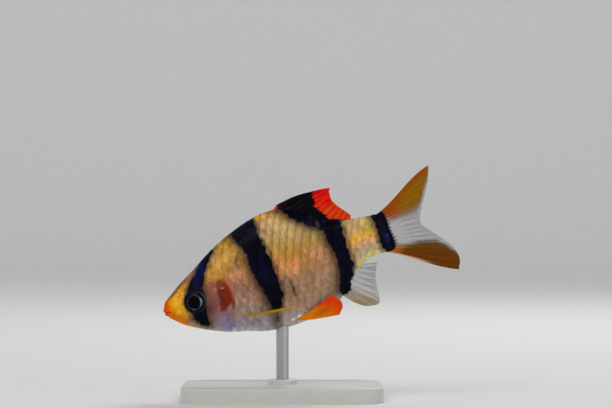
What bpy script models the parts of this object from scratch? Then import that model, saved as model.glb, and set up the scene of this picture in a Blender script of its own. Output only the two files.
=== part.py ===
"""Tiger barb, a still life-size model held by a plain display stand.

The fish is modelled in its own frame, in millimetres: X runs from the snout to the tail, Z from the belly
to the back, and Y across, with the left side at negative Y. An empty then holds it head down over the
stand. The origin is the centre of the underside of the stand's base.
"""
import math

import bmesh
import bpy
from mathutils import Matrix, Vector
from mathutils.bvhtree import BVHTree

MM = 0.001

# Gap that touching pieces keep
GAP = 0.3

# Pose over the stand
PITCH_DEG = 20.0
SNOUT_X = -23.7
SNOUT_Z = 17.7

# Body stations: distance from the snout, back, belly, half width
STATIONS = (
    (0.0, 0.85, -1.4, 0.75),
    (1.0, 1.65, -2.25, 1.25),
    (2.5, 2.55, -3.75, 1.95),
    (5.0, 4.05, -5.5, 2.75),
    (8.0, 5.5, -7.2, 3.4),
    (11.0, 7.15, -8.55, 3.95),
    (14.5, 8.8, -9.6, 4.35),
    (18.0, 10.05, -10.85, 4.5),
    (22.0, 11.15, -11.55, 4.55),
    (26.5, 11.55, -11.55, 4.35),
    (30.0, 10.5, -11.0, 3.9),
    (34.0, 7.9, -9.9, 3.15),
    (38.0, 5.4, -6.6, 2.3),
    (42.0, 4.35, -4.15, 1.6),
    (45.0, 3.75, -4.1, 1.2),
    (49.0, 3.6, -4.0, 0.8),
)
MID_SHARE = 0.52
FULLNESS = 2.1
NOSE_ROUND = 0.9
NOSE_Z = -0.35

# Cuts between head, trunk and tail stalk
COVER_EDGE_X = 14.4
COVER_EDGE_Z = -2.5
COVER_EDGE_RISE = 0.035
COVER_EDGE_FALL = 0.08
STALK_START = 41.6
STALK_END = 48.0
STALK_END_Z = -0.2
STALK_END_CURVE = 0.035

# Mesh steps of the body
AROUND = 40
HEAD_RINGS = 26
HEAD_CROWDING = 1.6
TRUNK_RINGS = 24
STALK_RINGS = 7

# Mouth: a slit that runs back and a little down from the snout
MOUTH_Z = -0.45
MOUTH_CORNER_X = 1.2
MOUTH_SLOPE = 0.32
MOUTH_OPEN = 0.24
LIP_SWELL = 0.16
LIP_WIDTH = 0.3
LIP_OFFSET = 0.42
NOSTRIL = (3.9, 1.55)
NOSTRIL_RADIUS = 0.32
NOSTRIL_DEPTH = 0.5

# Eyes
EYE_X = 6.65
EYE_Y = 2.6
EYE_Z = -0.5
EYE_RADIUS = 2.4
EYE_HALF_DEPTH = 1.15
EYE_TURN_DEG = 11.0

# Gill covers: an upright oval plate on each cheek, open to the rear edge of the head
COVER_X = 13.4
COVER_Z = -1.7
COVER_HALF_LENGTH = 3.1
COVER_HALF_HEIGHT = 4.7
COVER_INNER_Y = 2.6
COVER_SWELL = 0.22

# Fins: half thicknesses, and the height of a ray's ridge over the membrane
MEMBRANE_HALF = 0.25
RIM_HALF = 0.13
ROOT_HALF = 0.42
PAIRED_ROOT_HALF = 0.32
RAY_RIDGE = 0.13
RIM_TAPER_START = 0.8
RAY_STEPS = (0.0, 0.3, 0.7)

DORSAL_RAYS = 12
DORSAL_ROOT = (26.4, 41.1)
DORSAL_RIM = (
    (28.4, 12.2), (33.0, 12.55), (39.1, 11.85), (39.2, 11.1), (39.1, 10.2), (39.1, 9.3), (39.5, 8.4),
    (40.0, 7.5), (40.6, 6.7), (41.1, 5.95), (41.6, 5.15),
)
ANAL_RAYS = 9
ANAL_ROOT = (34.4, 39.9)
ANAL_RIM = (
    (36.4, -11.6), (38.3, -13.0), (40.7, -13.45), (41.5, -12.3), (41.6, -10.8), (41.8, -9.3),
    (42.2, -7.9), (42.8, -6.6), (43.4, -5.5),
)
CAUDAL_RAYS = 19
CAUDAL_ROOT = (
    (46.6, 4.05), (47.4, 4.0), (47.95, 3.2), (48.25, 1.6), (48.32, -0.2), (48.25, -2.0), (47.95, -3.6),
    (47.2, -4.5), (45.4, -4.5),
)
CAUDAL_RIM = (
    (59.7, 9.25), (59.2, 7.9), (58.1, 5.7), (56.8, 3.6), (55.4, 1.5), (54.3, -1.0), (55.4, -2.9),
    (57.0, -5.0), (58.6, -7.5), (59.3, -10.2), (58.4, -12.5),
)
# The lobes leave the stalk flatter than they spread, and bend back again towards their tips
CAUDAL_TURN_UPPER = 13.0
CAUDAL_TURN_LOWER = 9.0
# Paired fins, for the left side: root on the flank, and rim from the leading ray to the last
PECTORAL_RAYS = 12
PECTORAL_ROOT = ((14.7, -6.0), (14.7, -7.2))
PECTORAL_RIM = (
    (25.1, -8.1, -7.8), (24.6, -6.9, -8.1), (23.4, -5.7, -8.4), (21.9, -4.8, -8.6), (20.2, -4.3, -8.7),
)
PECTORAL_STEM = 1.1
PELVIC_RAYS = 9
PELVIC_ROOT = ((24.3, -10.9), (25.7, -10.4))
PELVIC_RIM = (
    (32.8, -4.3, -12.75), (34.0, -4.4, -11.3), (33.5, -4.0, -9.9), (32.4, -3.5, -8.7),
)
PELVIC_STEM = 0.7

# Stand: a flat plate with rounded corners, a low boss and one rod
BASE_SIZE = (40.0, 26.0, 3.0)
BASE_CORNER = 5.0
BASE_EDGE = 0.5
BOSS_RADIUS = 3.0
BOSS_HEIGHT = 1.0
ROD_RADIUS = 1.25
ROD_SIDES = 24


def lerp(a, b, t):
    return a + (b - a) * t


def smooth(t):
    t = min(max(t, 0.0), 1.0)
    return t * t * (3.0 - 2.0 * t)


def through(points, u):
    """The point at u, from 0 to 1, on a smooth curve through evenly weighted points."""
    last = len(points) - 1
    place = min(max(u, 0.0), 1.0) * last
    i = min(int(place), last - 1)
    t = place - i
    p1, p2 = Vector(points[i]), Vector(points[i + 1])
    p0 = Vector(points[i - 1]) if i > 0 else 2.0 * p1 - p2
    p3 = Vector(points[i + 2]) if i + 2 <= last else 2.0 * p2 - p1
    return (
        p1 * 2.0
        + (p2 - p0) * t
        + (p0 * 2.0 - p1 * 5.0 + p2 * 4.0 - p3) * t * t
        + (p1 * 3.0 - p0 - p2 * 3.0 + p3) * t * t * t
    ) * 0.5


def station(x):
    """Back, belly and half width at x, on smooth curves through the stations."""
    x = min(max(x, STATIONS[0][0]), STATIONS[-1][0])
    i = 0
    while i < len(STATIONS) - 2 and x > STATIONS[i + 1][0]:
        i += 1
    a, b = STATIONS[i], STATIONS[i + 1]
    before = STATIONS[max(i - 1, 0)]
    after = STATIONS[min(i + 2, len(STATIONS) - 1)]
    span = b[0] - a[0]
    t = (x - a[0]) / span
    values = []
    for k in (1, 2, 3):
        slope_a = (b[k] - before[k]) / (b[0] - before[0]) * span
        slope_b = (after[k] - a[k]) / (after[0] - a[0]) * span
        values.append(
            a[k] * (2 * t ** 3 - 3 * t ** 2 + 1)
            + slope_a * (t ** 3 - 2 * t ** 2 + t)
            + b[k] * (3 * t ** 2 - 2 * t ** 3)
            + slope_b * (t ** 3 - t ** 2)
        )
    return values


def section(x):
    """Back, belly, half width and height of the widest line at x, with the snout rounded off."""
    back, belly, half = station(x)
    near = min(x / NOSE_ROUND, 1.0)
    k = math.sqrt(max(near * (2.0 - near), 0.0))
    back = NOSE_Z + (back - NOSE_Z) * k
    belly = NOSE_Z + (belly - NOSE_Z) * k
    return back, belly, half * k, lerp(belly, back, MID_SHARE)


def back_at(x):
    return section(x)[0]


def belly_at(x):
    return section(x)[1]


def half_width_at(x, z):
    """Half width of the body at x and height z."""
    back, belly, half, mid = section(x)
    reach = back - mid if z > mid else mid - belly
    share = min(abs(z - mid) / reach, 1.0)
    return half * (1.0 - share ** FULLNESS) ** (1.0 / FULLNESS)


def flank_point(x, z, side, lift):
    """The point at x and z on one flank, lifted off the skin."""
    step = 0.05
    here = Vector((x, side * half_width_at(x, z), z))
    along = Vector((x + step, side * half_width_at(x + step, z), z)) - here
    up = Vector((x, side * half_width_at(x, z + step), z + step)) - here
    normal = along.cross(up).normalized()
    if normal.y * side < 0.0:
        normal.negate()
    return here + normal * lift


def cover_edge(z):
    """Rear edge of the gill cover, carried on up to the nape and down to the throat."""
    rise = COVER_EDGE_RISE if z > COVER_EDGE_Z else COVER_EDGE_FALL
    return COVER_EDGE_X - rise * (z - COVER_EDGE_Z) ** 2


def stalk_end(z):
    """Rounded rear edge of the tail stalk, where the rays of the tail fin start."""
    return STALK_END - STALK_END_CURVE * (z - STALK_END_Z) ** 2


def mouth_line(x):
    """Height of the slit between the lips."""
    return MOUTH_Z - MOUTH_SLOPE * x


def head_relief(point):
    """Lips and the swell of the gill cover, added to a point of the plain head."""
    x, y, z = point
    for side in (-1.0, 1.0):
        crest = mouth_line(max(x, 0.0)) + side * LIP_OFFSET
        fade = 1.0 - smooth((x - 0.8) / 0.9)
        swell = LIP_SWELL * fade * math.exp(-(((z - crest) / LIP_WIDTH) ** 2))
        outward = Vector((-0.7, 1.2 * y, side * 0.5)).normalized()
        point = point + outward * swell
    rise = smooth((x - COVER_X + COVER_HALF_LENGTH) / COVER_HALF_LENGTH)
    window = 1.0 - smooth((abs(z - COVER_Z) - 0.6 * COVER_HALF_HEIGHT) / (0.5 * COVER_HALF_HEIGHT))
    shift = COVER_SWELL * rise * window
    return point + Vector((0.0, math.copysign(shift, y) if abs(y) > 1.0 else 0.0, 0.0))


def ring_point(front, rear, s, angle):
    """A point of the body at share s between two cut lines, and at an angle from the top."""
    up = math.cos(angle)
    height = math.copysign(abs(up) ** (2.0 / FULLNESS), up)
    across = math.copysign(abs(math.sin(angle)) ** (2.0 / FULLNESS), math.sin(angle))
    z = 0.0
    for _ in range(12):
        x = lerp(front(z), rear(z), s)
        back, belly, half, mid = section(x)
        z = mid + height * (back - mid if up > 0.0 else mid - belly)
    return Vector((x, half * across, z))


def mesh_object(name, vertices, faces):
    """A mesh object from points in millimetres."""
    mesh = bpy.data.meshes.new(name)
    mesh.from_pydata([tuple(Vector(v) * MM) for v in vertices], [], faces)
    bm = bmesh.new()
    bm.from_mesh(mesh)
    bmesh.ops.recalc_face_normals(bm, faces=bm.faces)
    bm.to_mesh(mesh)
    bm.free()
    thing = bpy.data.objects.new(name, mesh)
    bpy.context.scene.collection.objects.link(thing)
    return thing


def cap(ring, faces):
    """Close a ring whose two halves mirror each other, with strips from side to side."""
    count = len(ring)
    for k in range(count // 2):
        a, b = ring[k], ring[k + 1]
        c, d = ring[(count - k - 1) % count], ring[(count - k) % count]
        face = [a, b, c, d]
        unique = [v for i, v in enumerate(face) if v not in face[:i]]
        faces.append(unique)


def loft(name, front, rear, rings, crowding=1.0, relief=None):
    """A length of the body between two cut lines. A front of None starts at the snout's tip."""
    vertices, faces = [], []
    start = front or (lambda z: 0.0)
    first = 0 if front else 1
    rows = []
    for i in range(first, rings + 1):
        s = (i / rings) ** crowding
        row = []
        for k in range(AROUND):
            point = ring_point(start, rear, s, 2.0 * math.pi * k / AROUND)
            row.append(len(vertices))
            vertices.append(relief(point) if relief else point)
        rows.append(row)
    for a, b in zip(rows, rows[1:]):
        for k in range(AROUND):
            n = (k + 1) % AROUND
            faces.append((a[k], a[n], b[n], b[k]))
    cap(rows[-1], faces)
    if front:
        cap(rows[0], faces)
    else:
        tip = len(vertices)
        vertices.append(Vector((0.0, 0.0, NOSE_Z)))
        faces.extend((rows[0][k], rows[0][(k + 1) % AROUND], tip) for k in range(AROUND))
    return mesh_object(name, vertices, faces)


def boolean(thing, cutter, operation):
    """Apply one Boolean and keep only the largest closed surface of the result."""
    modifier = thing.modifiers.new("cut", "BOOLEAN")
    modifier.operation = operation
    modifier.solver = "EXACT"
    modifier.object = cutter
    bpy.context.view_layer.update()
    depsgraph = bpy.context.evaluated_depsgraph_get()
    mesh = bpy.data.meshes.new_from_object(thing.evaluated_get(depsgraph))
    thing.modifiers.clear()
    thing.data = mesh
    keep_largest(mesh)


def keep_largest(mesh):
    bm = bmesh.new()
    bm.from_mesh(mesh)
    bmesh.ops.remove_doubles(bm, verts=bm.verts, dist=1e-7)
    left = set(bm.verts)
    groups = []
    while left:
        stack = [left.pop()]
        group = set(stack)
        while stack:
            vertex = stack.pop()
            for edge in vertex.link_edges:
                other = edge.other_vert(vertex)
                if other not in group:
                    group.add(other)
                    left.discard(other)
                    stack.append(other)
        groups.append(group)
    groups.sort(key=len)
    for group in groups[:-1]:
        bmesh.ops.delete(bm, geom=list(group), context="VERTS")
    bm.to_mesh(mesh)
    bm.free()


def drop(thing):
    bpy.data.objects.remove(thing, do_unlink=True)


def prism_y(outline, y_low, y_high):
    """A block whose outline in X and Z is carried from one Y to another."""
    count = len(outline)
    vertices = [(x, y_low, z) for x, z in outline] + [(x, y_high, z) for x, z in outline]
    faces = [tuple(range(count)), tuple(range(2 * count - 1, count - 1, -1))]
    for k in range(count):
        n = (k + 1) % count
        faces.append((k, n, count + n, count + k))
    return mesh_object("cutter", vertices, faces)


def eye_body(name, side, grow=0.0):
    """A flattened ball set in the side of the head, turned a little forward."""
    bm = bmesh.new()
    bmesh.ops.create_uvsphere(bm, u_segments=20, v_segments=10, radius=1.0)
    shape = Matrix.Diagonal((EYE_RADIUS + grow, EYE_RADIUS + grow, EYE_HALF_DEPTH + grow, 1.0))
    lay = Matrix.Rotation(math.radians(90.0), 4, "X")
    turn = Matrix.Rotation(math.radians(side * EYE_TURN_DEG), 4, "Z")
    place = Matrix.Translation((EYE_X, side * EYE_Y, EYE_Z))
    bm.transform(Matrix.Scale(MM, 4) @ place @ turn @ lay @ shape)
    mesh = bpy.data.meshes.new(name)
    bm.to_mesh(mesh)
    bm.free()
    thing = bpy.data.objects.new(name, mesh)
    bpy.context.scene.collection.objects.link(thing)
    return thing


def cover_block(side, grow=0.0):
    """The oval region of one cheek, outside its flat inner face."""
    sides = 36
    outline = []
    for k in range(sides):
        angle = 2.0 * math.pi * k / sides
        outline.append((
            COVER_X + (COVER_HALF_LENGTH + grow) * math.cos(angle),
            COVER_Z + (COVER_HALF_HEIGHT + grow) * math.sin(angle),
        ))
    far = side * 9.0
    return prism_y(outline, side * (COVER_INNER_Y - grow), far)


def mouth_cutter():
    """A thin wedge through the snout, closed at the corners of the mouth."""
    steps = 6
    upper, lower = [], []
    for i in range(steps + 1):
        x = lerp(-1.0, MOUTH_CORNER_X, i / steps)
        open_half = 0.5 * MOUTH_OPEN * (1.0 - 0.8 * max(x, 0.0) / MOUTH_CORNER_X)
        level = mouth_line(max(x, 0.0))
        upper.append((x, level + open_half))
        lower.append((x, level - open_half))
    return prism_y(upper + lower[::-1], -3.0, 3.0)


def nostril_cutter(side):
    x, z = NOSTRIL
    y = half_width_at(x, z)
    sides = 10
    outline = []
    for k in range(sides):
        angle = 2.0 * math.pi * k / sides
        outline.append((x + NOSTRIL_RADIUS * math.cos(angle), z + NOSTRIL_RADIUS * math.sin(angle)))
    return prism_y(outline, side * (y - NOSTRIL_DEPTH), side * (y + 2.0))


def make_head():
    """Head with mouth, nostrils, eye sockets and the beds of the gill covers; and the covers."""
    head = loft("head", None, cover_edge, HEAD_RINGS, HEAD_CROWDING, head_relief)
    covers = []
    for side, word in ((-1.0, "left"), (1.0, "right")):
        cover = bpy.data.objects.new("gill_cover_" + word, head.data.copy())
        bpy.context.scene.collection.objects.link(cover)
        block = cover_block(side)
        boolean(cover, block, "INTERSECT")
        drop(block)
        covers.append(cover)
    cutters = [mouth_cutter()]
    for side in (-1.0, 1.0):
        cutters.append(cover_block(side, GAP))
        cutters.append(eye_body("cutter", side, GAP))
        cutters.append(nostril_cutter(side))
    for cutter in cutters:
        boolean(head, cutter, "DIFFERENCE")
        drop(cutter)
    return [head] + covers


def make_eyes():
    return [eye_body("eye_left", -1.0), eye_body("eye_right", 1.0)]


def make_trunk():
    return loft("trunk", lambda z: cover_edge(z) + GAP, lambda z: STALK_START, TRUNK_RINGS)


def make_tail_stalk():
    return loft("tail_stalk", lambda z: STALK_START + GAP, stalk_end, STALK_RINGS)


def fin(name, ray_point, rays, rows, side=None):
    """A membrane with a ridge along each ray, closed by a rim, and both faces split alike.

    ray_point(u, t) gives the middle surface: u from the first ray to the last, t from root to rim.
    side is None for a fin on the middle plane, and -1 or 1 for a paired fin.
    """
    columns = []
    for i in range(rays - 1):
        columns.extend((i + step, step == 0.0) for step in RAY_STEPS)
    columns.append((rays - 1, True))
    vertices, faces = [], []
    grid = []
    for place, on_ray in columns:
        u = place / (rays - 1)
        line = []
        for j in range(rows + 1):
            t = j / rows
            here = ray_point(u, t)
            step = 0.01
            du = ray_point(min(u + step, 1.0), t) - ray_point(max(u - step, 0.0), t)
            dt = ray_point(u, min(t + step, 1.0)) - ray_point(u, max(t - step, 0.0))
            normal = Vector((0.0, 1.0, 0.0)) if side is None else du.cross(dt).normalized()
            half = lerp(ROOT_HALF if side is None else PAIRED_ROOT_HALF, MEMBRANE_HALF, smooth(3.0 * t))
            half = lerp(half, RIM_HALF, smooth((t - RIM_TAPER_START) / (1.0 - RIM_TAPER_START)))
            if on_ray:
                half += RAY_RIDGE * (1.0 - 0.6 * t)
            line.append((len(vertices), len(vertices) + 1))
            vertices.append(here + normal * half)
            vertices.append(here - normal * half)
        grid.append(line)
    for a, b in zip(grid, grid[1:]):
        for j in range(rows):
            for face in (0, 1):
                p, q, r, s = a[j][face], b[j][face], b[j + 1][face], a[j + 1][face]
                faces.append((p, q, r))
                faces.append((p, r, s))
        for j in (0, rows):
            faces.append((a[j][0], b[j][0], b[j][1], a[j][1]))
    for line in (grid[0], grid[-1]):
        for j in range(rows):
            faces.append((line[j][0], line[j][1], line[j + 1][1], line[j + 1][0]))
    return mesh_object(name, vertices, faces)


def bent_ray(root, tip, t, start_turn=0.0, end_turn=0.0):
    """A ray in the middle plane, from root to tip, whose ends turn by angles in degrees."""
    chord = tip - root
    first = root + Matrix.Rotation(math.radians(-start_turn), 3, "Y") @ chord / 3.0
    second = tip - Matrix.Rotation(math.radians(-end_turn), 3, "Y") @ chord / 3.0
    s = 1.0 - t
    return root * s ** 3 + first * 3 * s * s * t + second * 3 * s * t * t + tip * t ** 3


def in_plane(x, z):
    return Vector((x, 0.0, z))


def make_dorsal_fin():
    def ray_point(u, t):
        x = lerp(DORSAL_ROOT[0], DORSAL_ROOT[1], u)
        root = in_plane(x, back_at(x) + GAP)
        rim = through(DORSAL_RIM, u)
        return bent_ray(root, in_plane(rim.x, rim.y), t, start_turn=6.0 * smooth(4.0 * u))
    return fin("dorsal_fin", ray_point, DORSAL_RAYS, 5)


def make_anal_fin():
    def ray_point(u, t):
        x = lerp(ANAL_ROOT[0], ANAL_ROOT[1], u)
        root = in_plane(x, belly_at(x) - GAP)
        rim = through(ANAL_RIM, u)
        return bent_ray(root, in_plane(rim.x, rim.y), t, start_turn=-8.0)
    return fin("anal_fin", ray_point, ANAL_RAYS, 5)


def make_caudal_fin():
    def ray_point(u, t):
        start = through(CAUDAL_ROOT, u)
        rim = through(CAUDAL_RIM, u)
        turn = lerp(-CAUDAL_TURN_UPPER, CAUDAL_TURN_LOWER, u)
        return bent_ray(in_plane(start.x, start.y), in_plane(rim.x, rim.y), t, turn, turn)
    return fin("caudal_fin", ray_point, CAUDAL_RAYS, 6)


def make_pair(name, root_ends, rim, rays, stem):
    """A pair of fins that mirror each other. Rays leave the flank square and then sweep back."""
    things = []
    for side, word in ((-1.0, "left"), (1.0, "right")):
        def ray_point(u, t):
            x = lerp(root_ends[0][0], root_ends[1][0], u)
            z = lerp(root_ends[0][1], root_ends[1][1], u)
            root = flank_point(x, z, side, GAP)
            outward = flank_point(x, z, side, GAP + stem) - root
            tip = through(rim, u)
            tip = Vector((tip.x, -side * tip.y, tip.z))
            first = root + outward
            second = tip - (tip - first) * 0.45
            s = 1.0 - t
            return root * s ** 3 + first * 3 * s * s * t + second * 3 * s * t * t + tip * t ** 3
        things.append(fin(name + "_" + word, ray_point, rays, 7, side))
    return things


def make_stand(trunk):
    """Base plate with its boss, and the rod whose top follows the belly."""
    bm = bmesh.new()
    bmesh.ops.create_cube(bm, size=1.0)
    bmesh.ops.scale(bm, vec=Vector(BASE_SIZE), verts=bm.verts)
    bmesh.ops.translate(bm, vec=(0.0, 0.0, BASE_SIZE[2] / 2.0), verts=bm.verts)
    upright = [e for e in bm.edges if abs(e.verts[0].co.z - e.verts[1].co.z) > 1.0]
    bmesh.ops.bevel(bm, geom=upright, offset=BASE_CORNER, segments=6, profile=0.5, affect="EDGES")
    rim = [e for e in bm.edges if min(v.co.z for v in e.verts) > BASE_SIZE[2] - 0.01]
    bmesh.ops.bevel(bm, geom=rim, offset=BASE_EDGE, segments=2, profile=0.5, affect="EDGES")
    bm.transform(Matrix.Scale(MM, 4))
    mesh = bpy.data.meshes.new("stand_base")
    bm.to_mesh(mesh)
    bm.free()
    base = bpy.data.objects.new("stand_base", mesh)
    bpy.context.scene.collection.objects.link(base)
    boss = round_bar("boss", BOSS_RADIUS, BASE_SIZE[2] - 0.5, BASE_SIZE[2] + BOSS_HEIGHT, 32)
    boolean(base, boss, "UNION")
    drop(boss)

    foot = BASE_SIZE[2] + BOSS_HEIGHT + GAP
    rod = round_bar("stand_rod", ROD_RADIUS, foot, foot + 1.0, ROD_SIDES)
    bpy.context.view_layer.update()
    world = trunk.matrix_world
    belly = BVHTree.FromPolygons(
        [world @ v.co for v in trunk.data.vertices], [p.vertices for p in trunk.data.polygons])
    for vertex in rod.data.vertices:
        if vertex.co.z > (foot + 0.5) * MM:
            hit = belly.ray_cast(vertex.co, Vector((0.0, 0.0, 1.0)))[0]
            vertex.co.z = hit.z - GAP * MM
    return [base, rod]


def round_bar(name, radius, low, high, sides):
    bm = bmesh.new()
    bmesh.ops.create_cone(
        bm, cap_ends=True, cap_tris=True, segments=sides, radius1=radius, radius2=radius, depth=high - low)
    bmesh.ops.translate(bm, vec=(0.0, 0.0, (low + high) / 2.0), verts=bm.verts)
    bm.transform(Matrix.Scale(MM, 4))
    mesh = bpy.data.meshes.new(name)
    bm.to_mesh(mesh)
    bm.free()
    thing = bpy.data.objects.new(name, mesh)
    bpy.context.scene.collection.objects.link(thing)
    return thing


def material(name, color, roughness, metallic=0.0):
    made = bpy.data.materials.new(name)
    made.use_nodes = True
    shader = made.node_tree.nodes["Principled BSDF"]
    shader.inputs["Base Color"].default_value = (*color, 1.0)
    shader.inputs["Roughness"].default_value = roughness
    shader.inputs["Metallic"].default_value = metallic
    return made


def finish(things, made):
    """Give objects a material and shade them smooth with their sharp edges kept."""
    for thing in things:
        thing.data.materials.clear()
        thing.data.materials.append(made)
        thing.data.shade_smooth()
        thing.data.set_sharp_from_angle(angle=math.radians(40.0))


def main():
    for thing in list(bpy.data.objects):
        bpy.data.objects.remove(thing, do_unlink=True)

    pose = bpy.data.objects.new("fish_pose", None)
    bpy.context.scene.collection.objects.link(pose)
    pose.location = (SNOUT_X * MM, 0.0, SNOUT_Z * MM)
    pose.rotation_euler = (0.0, math.radians(-PITCH_DEG), 0.0)

    trunk = make_trunk()
    flesh = make_head() + [trunk, make_tail_stalk()]
    eyes = make_eyes()
    clear_fins = [make_anal_fin(), make_caudal_fin()]
    clear_fins += make_pair("pectoral_fin", PECTORAL_ROOT, PECTORAL_RIM, PECTORAL_RAYS, PECTORAL_STEM)
    red_fins = [make_dorsal_fin()]
    red_fins += make_pair("pelvic_fin", PELVIC_ROOT, PELVIC_RIM, PELVIC_RAYS, PELVIC_STEM)
    for thing in flesh + eyes + clear_fins + red_fins:
        thing.parent = pose
    stand = make_stand(trunk)

    finish(flesh, material("flank", (0.62, 0.47, 0.30), 0.35))
    finish(eyes, material("eye", (0.02, 0.02, 0.02), 0.05))
    finish(clear_fins, material("clear_fin", (0.75, 0.42, 0.12), 0.4))
    finish(red_fins, material("red_fin", (0.85, 0.12, 0.03), 0.4))
    finish(stand, material("stand", (0.72, 0.72, 0.72), 0.5))

    model = bpy.data.collections.new("tiger_barb")
    bpy.context.scene.collection.children.link(model)
    for thing in flesh + eyes + clear_fins + red_fins + stand:
        bpy.context.scene.collection.objects.unlink(thing)
        model.objects.link(thing)


main()
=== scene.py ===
"""Looks of the tiger barb model: skin, scales, eyes, fins, stand, floor, light and camera.

The fish is shaped in its own frame, in millimetres: X runs from the snout to the tail, Z from the belly to
the back, and Y across, with the left side at negative Y. fish_to_world puts it head down over the stand, in
metres. Sizes are those of the solids; the skin lies inside them by the depth of the scales.
"""
import math

import bmesh
import bpy
import numpy as np
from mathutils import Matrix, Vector
from mathutils.bvhtree import BVHTree


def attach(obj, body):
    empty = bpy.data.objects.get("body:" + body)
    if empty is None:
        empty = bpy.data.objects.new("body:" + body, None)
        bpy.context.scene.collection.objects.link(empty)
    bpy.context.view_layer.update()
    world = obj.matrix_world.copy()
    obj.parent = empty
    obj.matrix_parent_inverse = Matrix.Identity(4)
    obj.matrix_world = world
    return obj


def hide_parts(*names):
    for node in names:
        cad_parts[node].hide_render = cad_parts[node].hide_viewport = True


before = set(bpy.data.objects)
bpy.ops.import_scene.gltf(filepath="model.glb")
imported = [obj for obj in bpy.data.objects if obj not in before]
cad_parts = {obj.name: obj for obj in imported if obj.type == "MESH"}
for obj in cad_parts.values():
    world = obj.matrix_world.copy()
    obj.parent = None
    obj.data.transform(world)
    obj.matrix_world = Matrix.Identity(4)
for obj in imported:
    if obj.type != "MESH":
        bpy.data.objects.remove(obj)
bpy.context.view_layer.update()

MM = 0.001
BODY = "root"
SIDES = ((-1.0, "left"), (1.0, "right"))

# Pose over the stand
PITCH_DEG = 20.0
SNOUT_X = -23.7
SNOUT_Z = 17.7

# Body. Its stations are distance from the snout, back, belly and half width
STATIONS = np.array((
    (0.0, 0.85, -1.4, 0.75),
    (1.0, 1.65, -2.25, 1.25),
    (2.5, 2.55, -3.75, 1.95),
    (5.0, 4.05, -5.5, 2.75),
    (8.0, 5.5, -7.2, 3.4),
    (11.0, 7.15, -8.55, 3.95),
    (14.5, 8.8, -9.6, 4.35),
    (18.0, 10.05, -10.85, 4.5),
    (22.0, 11.15, -11.55, 4.55),
    (26.5, 11.55, -11.55, 4.35),
    (30.0, 10.5, -11.0, 3.9),
    (34.0, 7.9, -9.9, 3.15),
    (38.0, 5.4, -6.6, 2.3),
    (42.0, 4.35, -4.15, 1.6),
    (45.0, 3.75, -4.1, 1.2),
    (49.0, 3.6, -4.0, 0.8),
))
MID_SHARE = 0.52
FULLNESS = 2.1
NOSE_ROUND = 0.9
NOSE_Z = -0.35
HALF_HEIGHT = 11.5
STEP = 0.05

# Table of angles round the body, by distance along it and over it from the widest line
ARC_PLACES = np.linspace(0.3, 48.6, 243)
ARC_REACH = np.linspace(-17.0, 17.0, 681)
ARC_STEPS = 1441

# Rear edge of the gill cover and of the tail stalk
COVER_EDGE_X = 14.4
COVER_EDGE_Z = -2.5
COVER_EDGE_RISE = 0.035
COVER_EDGE_FALL = 0.08
STALK_END = 48.0
STALK_END_Z = -0.2
STALK_END_CURVE = 0.035
THIN_FROM = 45.5
THIN_LENGTH = 2.5
THIN_SHARE = 0.8

# Mouth, nostrils, eyes and gill covers
MOUTH_Z = -0.45
MOUTH_CORNER_X = 1.25
MOUTH_SLOPE = 0.32
MOUTH_OPEN = 0.2
MOUTH_DEPTH = 0.55
LIPS = ((0.42, 0.2, 0.27), (0.95, -0.06, 0.12))
NOSTRILS = ((3.68, 1.5, 0.19), (4.2, 1.68, 0.23))
NOSTRIL_DEPTH = 0.32
EYE_X = 6.65
EYE_Y = 2.6
EYE_Z = -0.5
EYE_RADIUS = 2.4
EYE_HALF_DEPTH = 1.15
EYE_TURN_DEG = 11.0
EYE_GAP = 0.02
EYE_BULGE = 0.06
EYE_RINGS = 44
EYE_AROUND = 96
PUPIL = 1.15
SILVER_RING = 1.4
IRIS = 2.1
SOCKET_RADIUS = 2.36
SOCKET_DEPTH = 1.3
COVER_X = 13.4
COVER_Z = -1.7
COVER_HALF_LENGTH = 3.1
COVER_HALF_HEIGHT = 4.7
COVER_SWELL = 0.22
CHEEK_X = 6.9
CHEEK_Z = -0.4

# Skin: points round it, stretches of its rings with their spacing, and how they bend to the two edges
SKIN_AROUND = 264
SKIN_RINGS = ((0.02, 1.6, 0.04), (1.6, 15.2, 0.062), (15.2, STALK_END, 0.3))
SKIN_PASSES = 12
COVER_BEND = 9.5
STALK_BEND = (38.0, 48.0)

# Scales. The pitch along a row and from row to row is given for the flank and for the tail stalk
SCALE_DEPTH = 0.15
SCALE_PITCH = (1.55, 1.4)
SCALE_ROW = (1.85, 1.35)
SCALE_NARROWS = (30.0, 42.0)
SCALE_ROWS = 8
SCALE_FIRST = 9.0
SCALE_LAST = 50.0
SCALE_LENGTH = 1.75
SCALE_HALF_WIDTH = 1.16
SCALE_THICK = 0.045
SCALE_ROUND = 1.05
SCALE_TUCK = 0.03
SCALE_LIFT = 0.035
SCALE_SWELL = 0.03
SCALE_ACROSS = 19
SCALE_ALONG = 14
SCALE_CREASE_DEG = 60.0
COVER_MARGIN = 0.75
STALK_MARGIN = 0.1
SCALE_REAR_LIMIT = 48.55
RIDGE_MARGIN = 0.02
RIDGE_PITCH = 1.45
RIDGES = ((0.0, 11.8, 26.2), (0.0, 41.8, 46.6), (math.pi, 13.0, 34.0), (math.pi, 40.6, 46.0))
MAP_SPAN = (50.0, 36.0)
MAP_PATCH = 0.003

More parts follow.
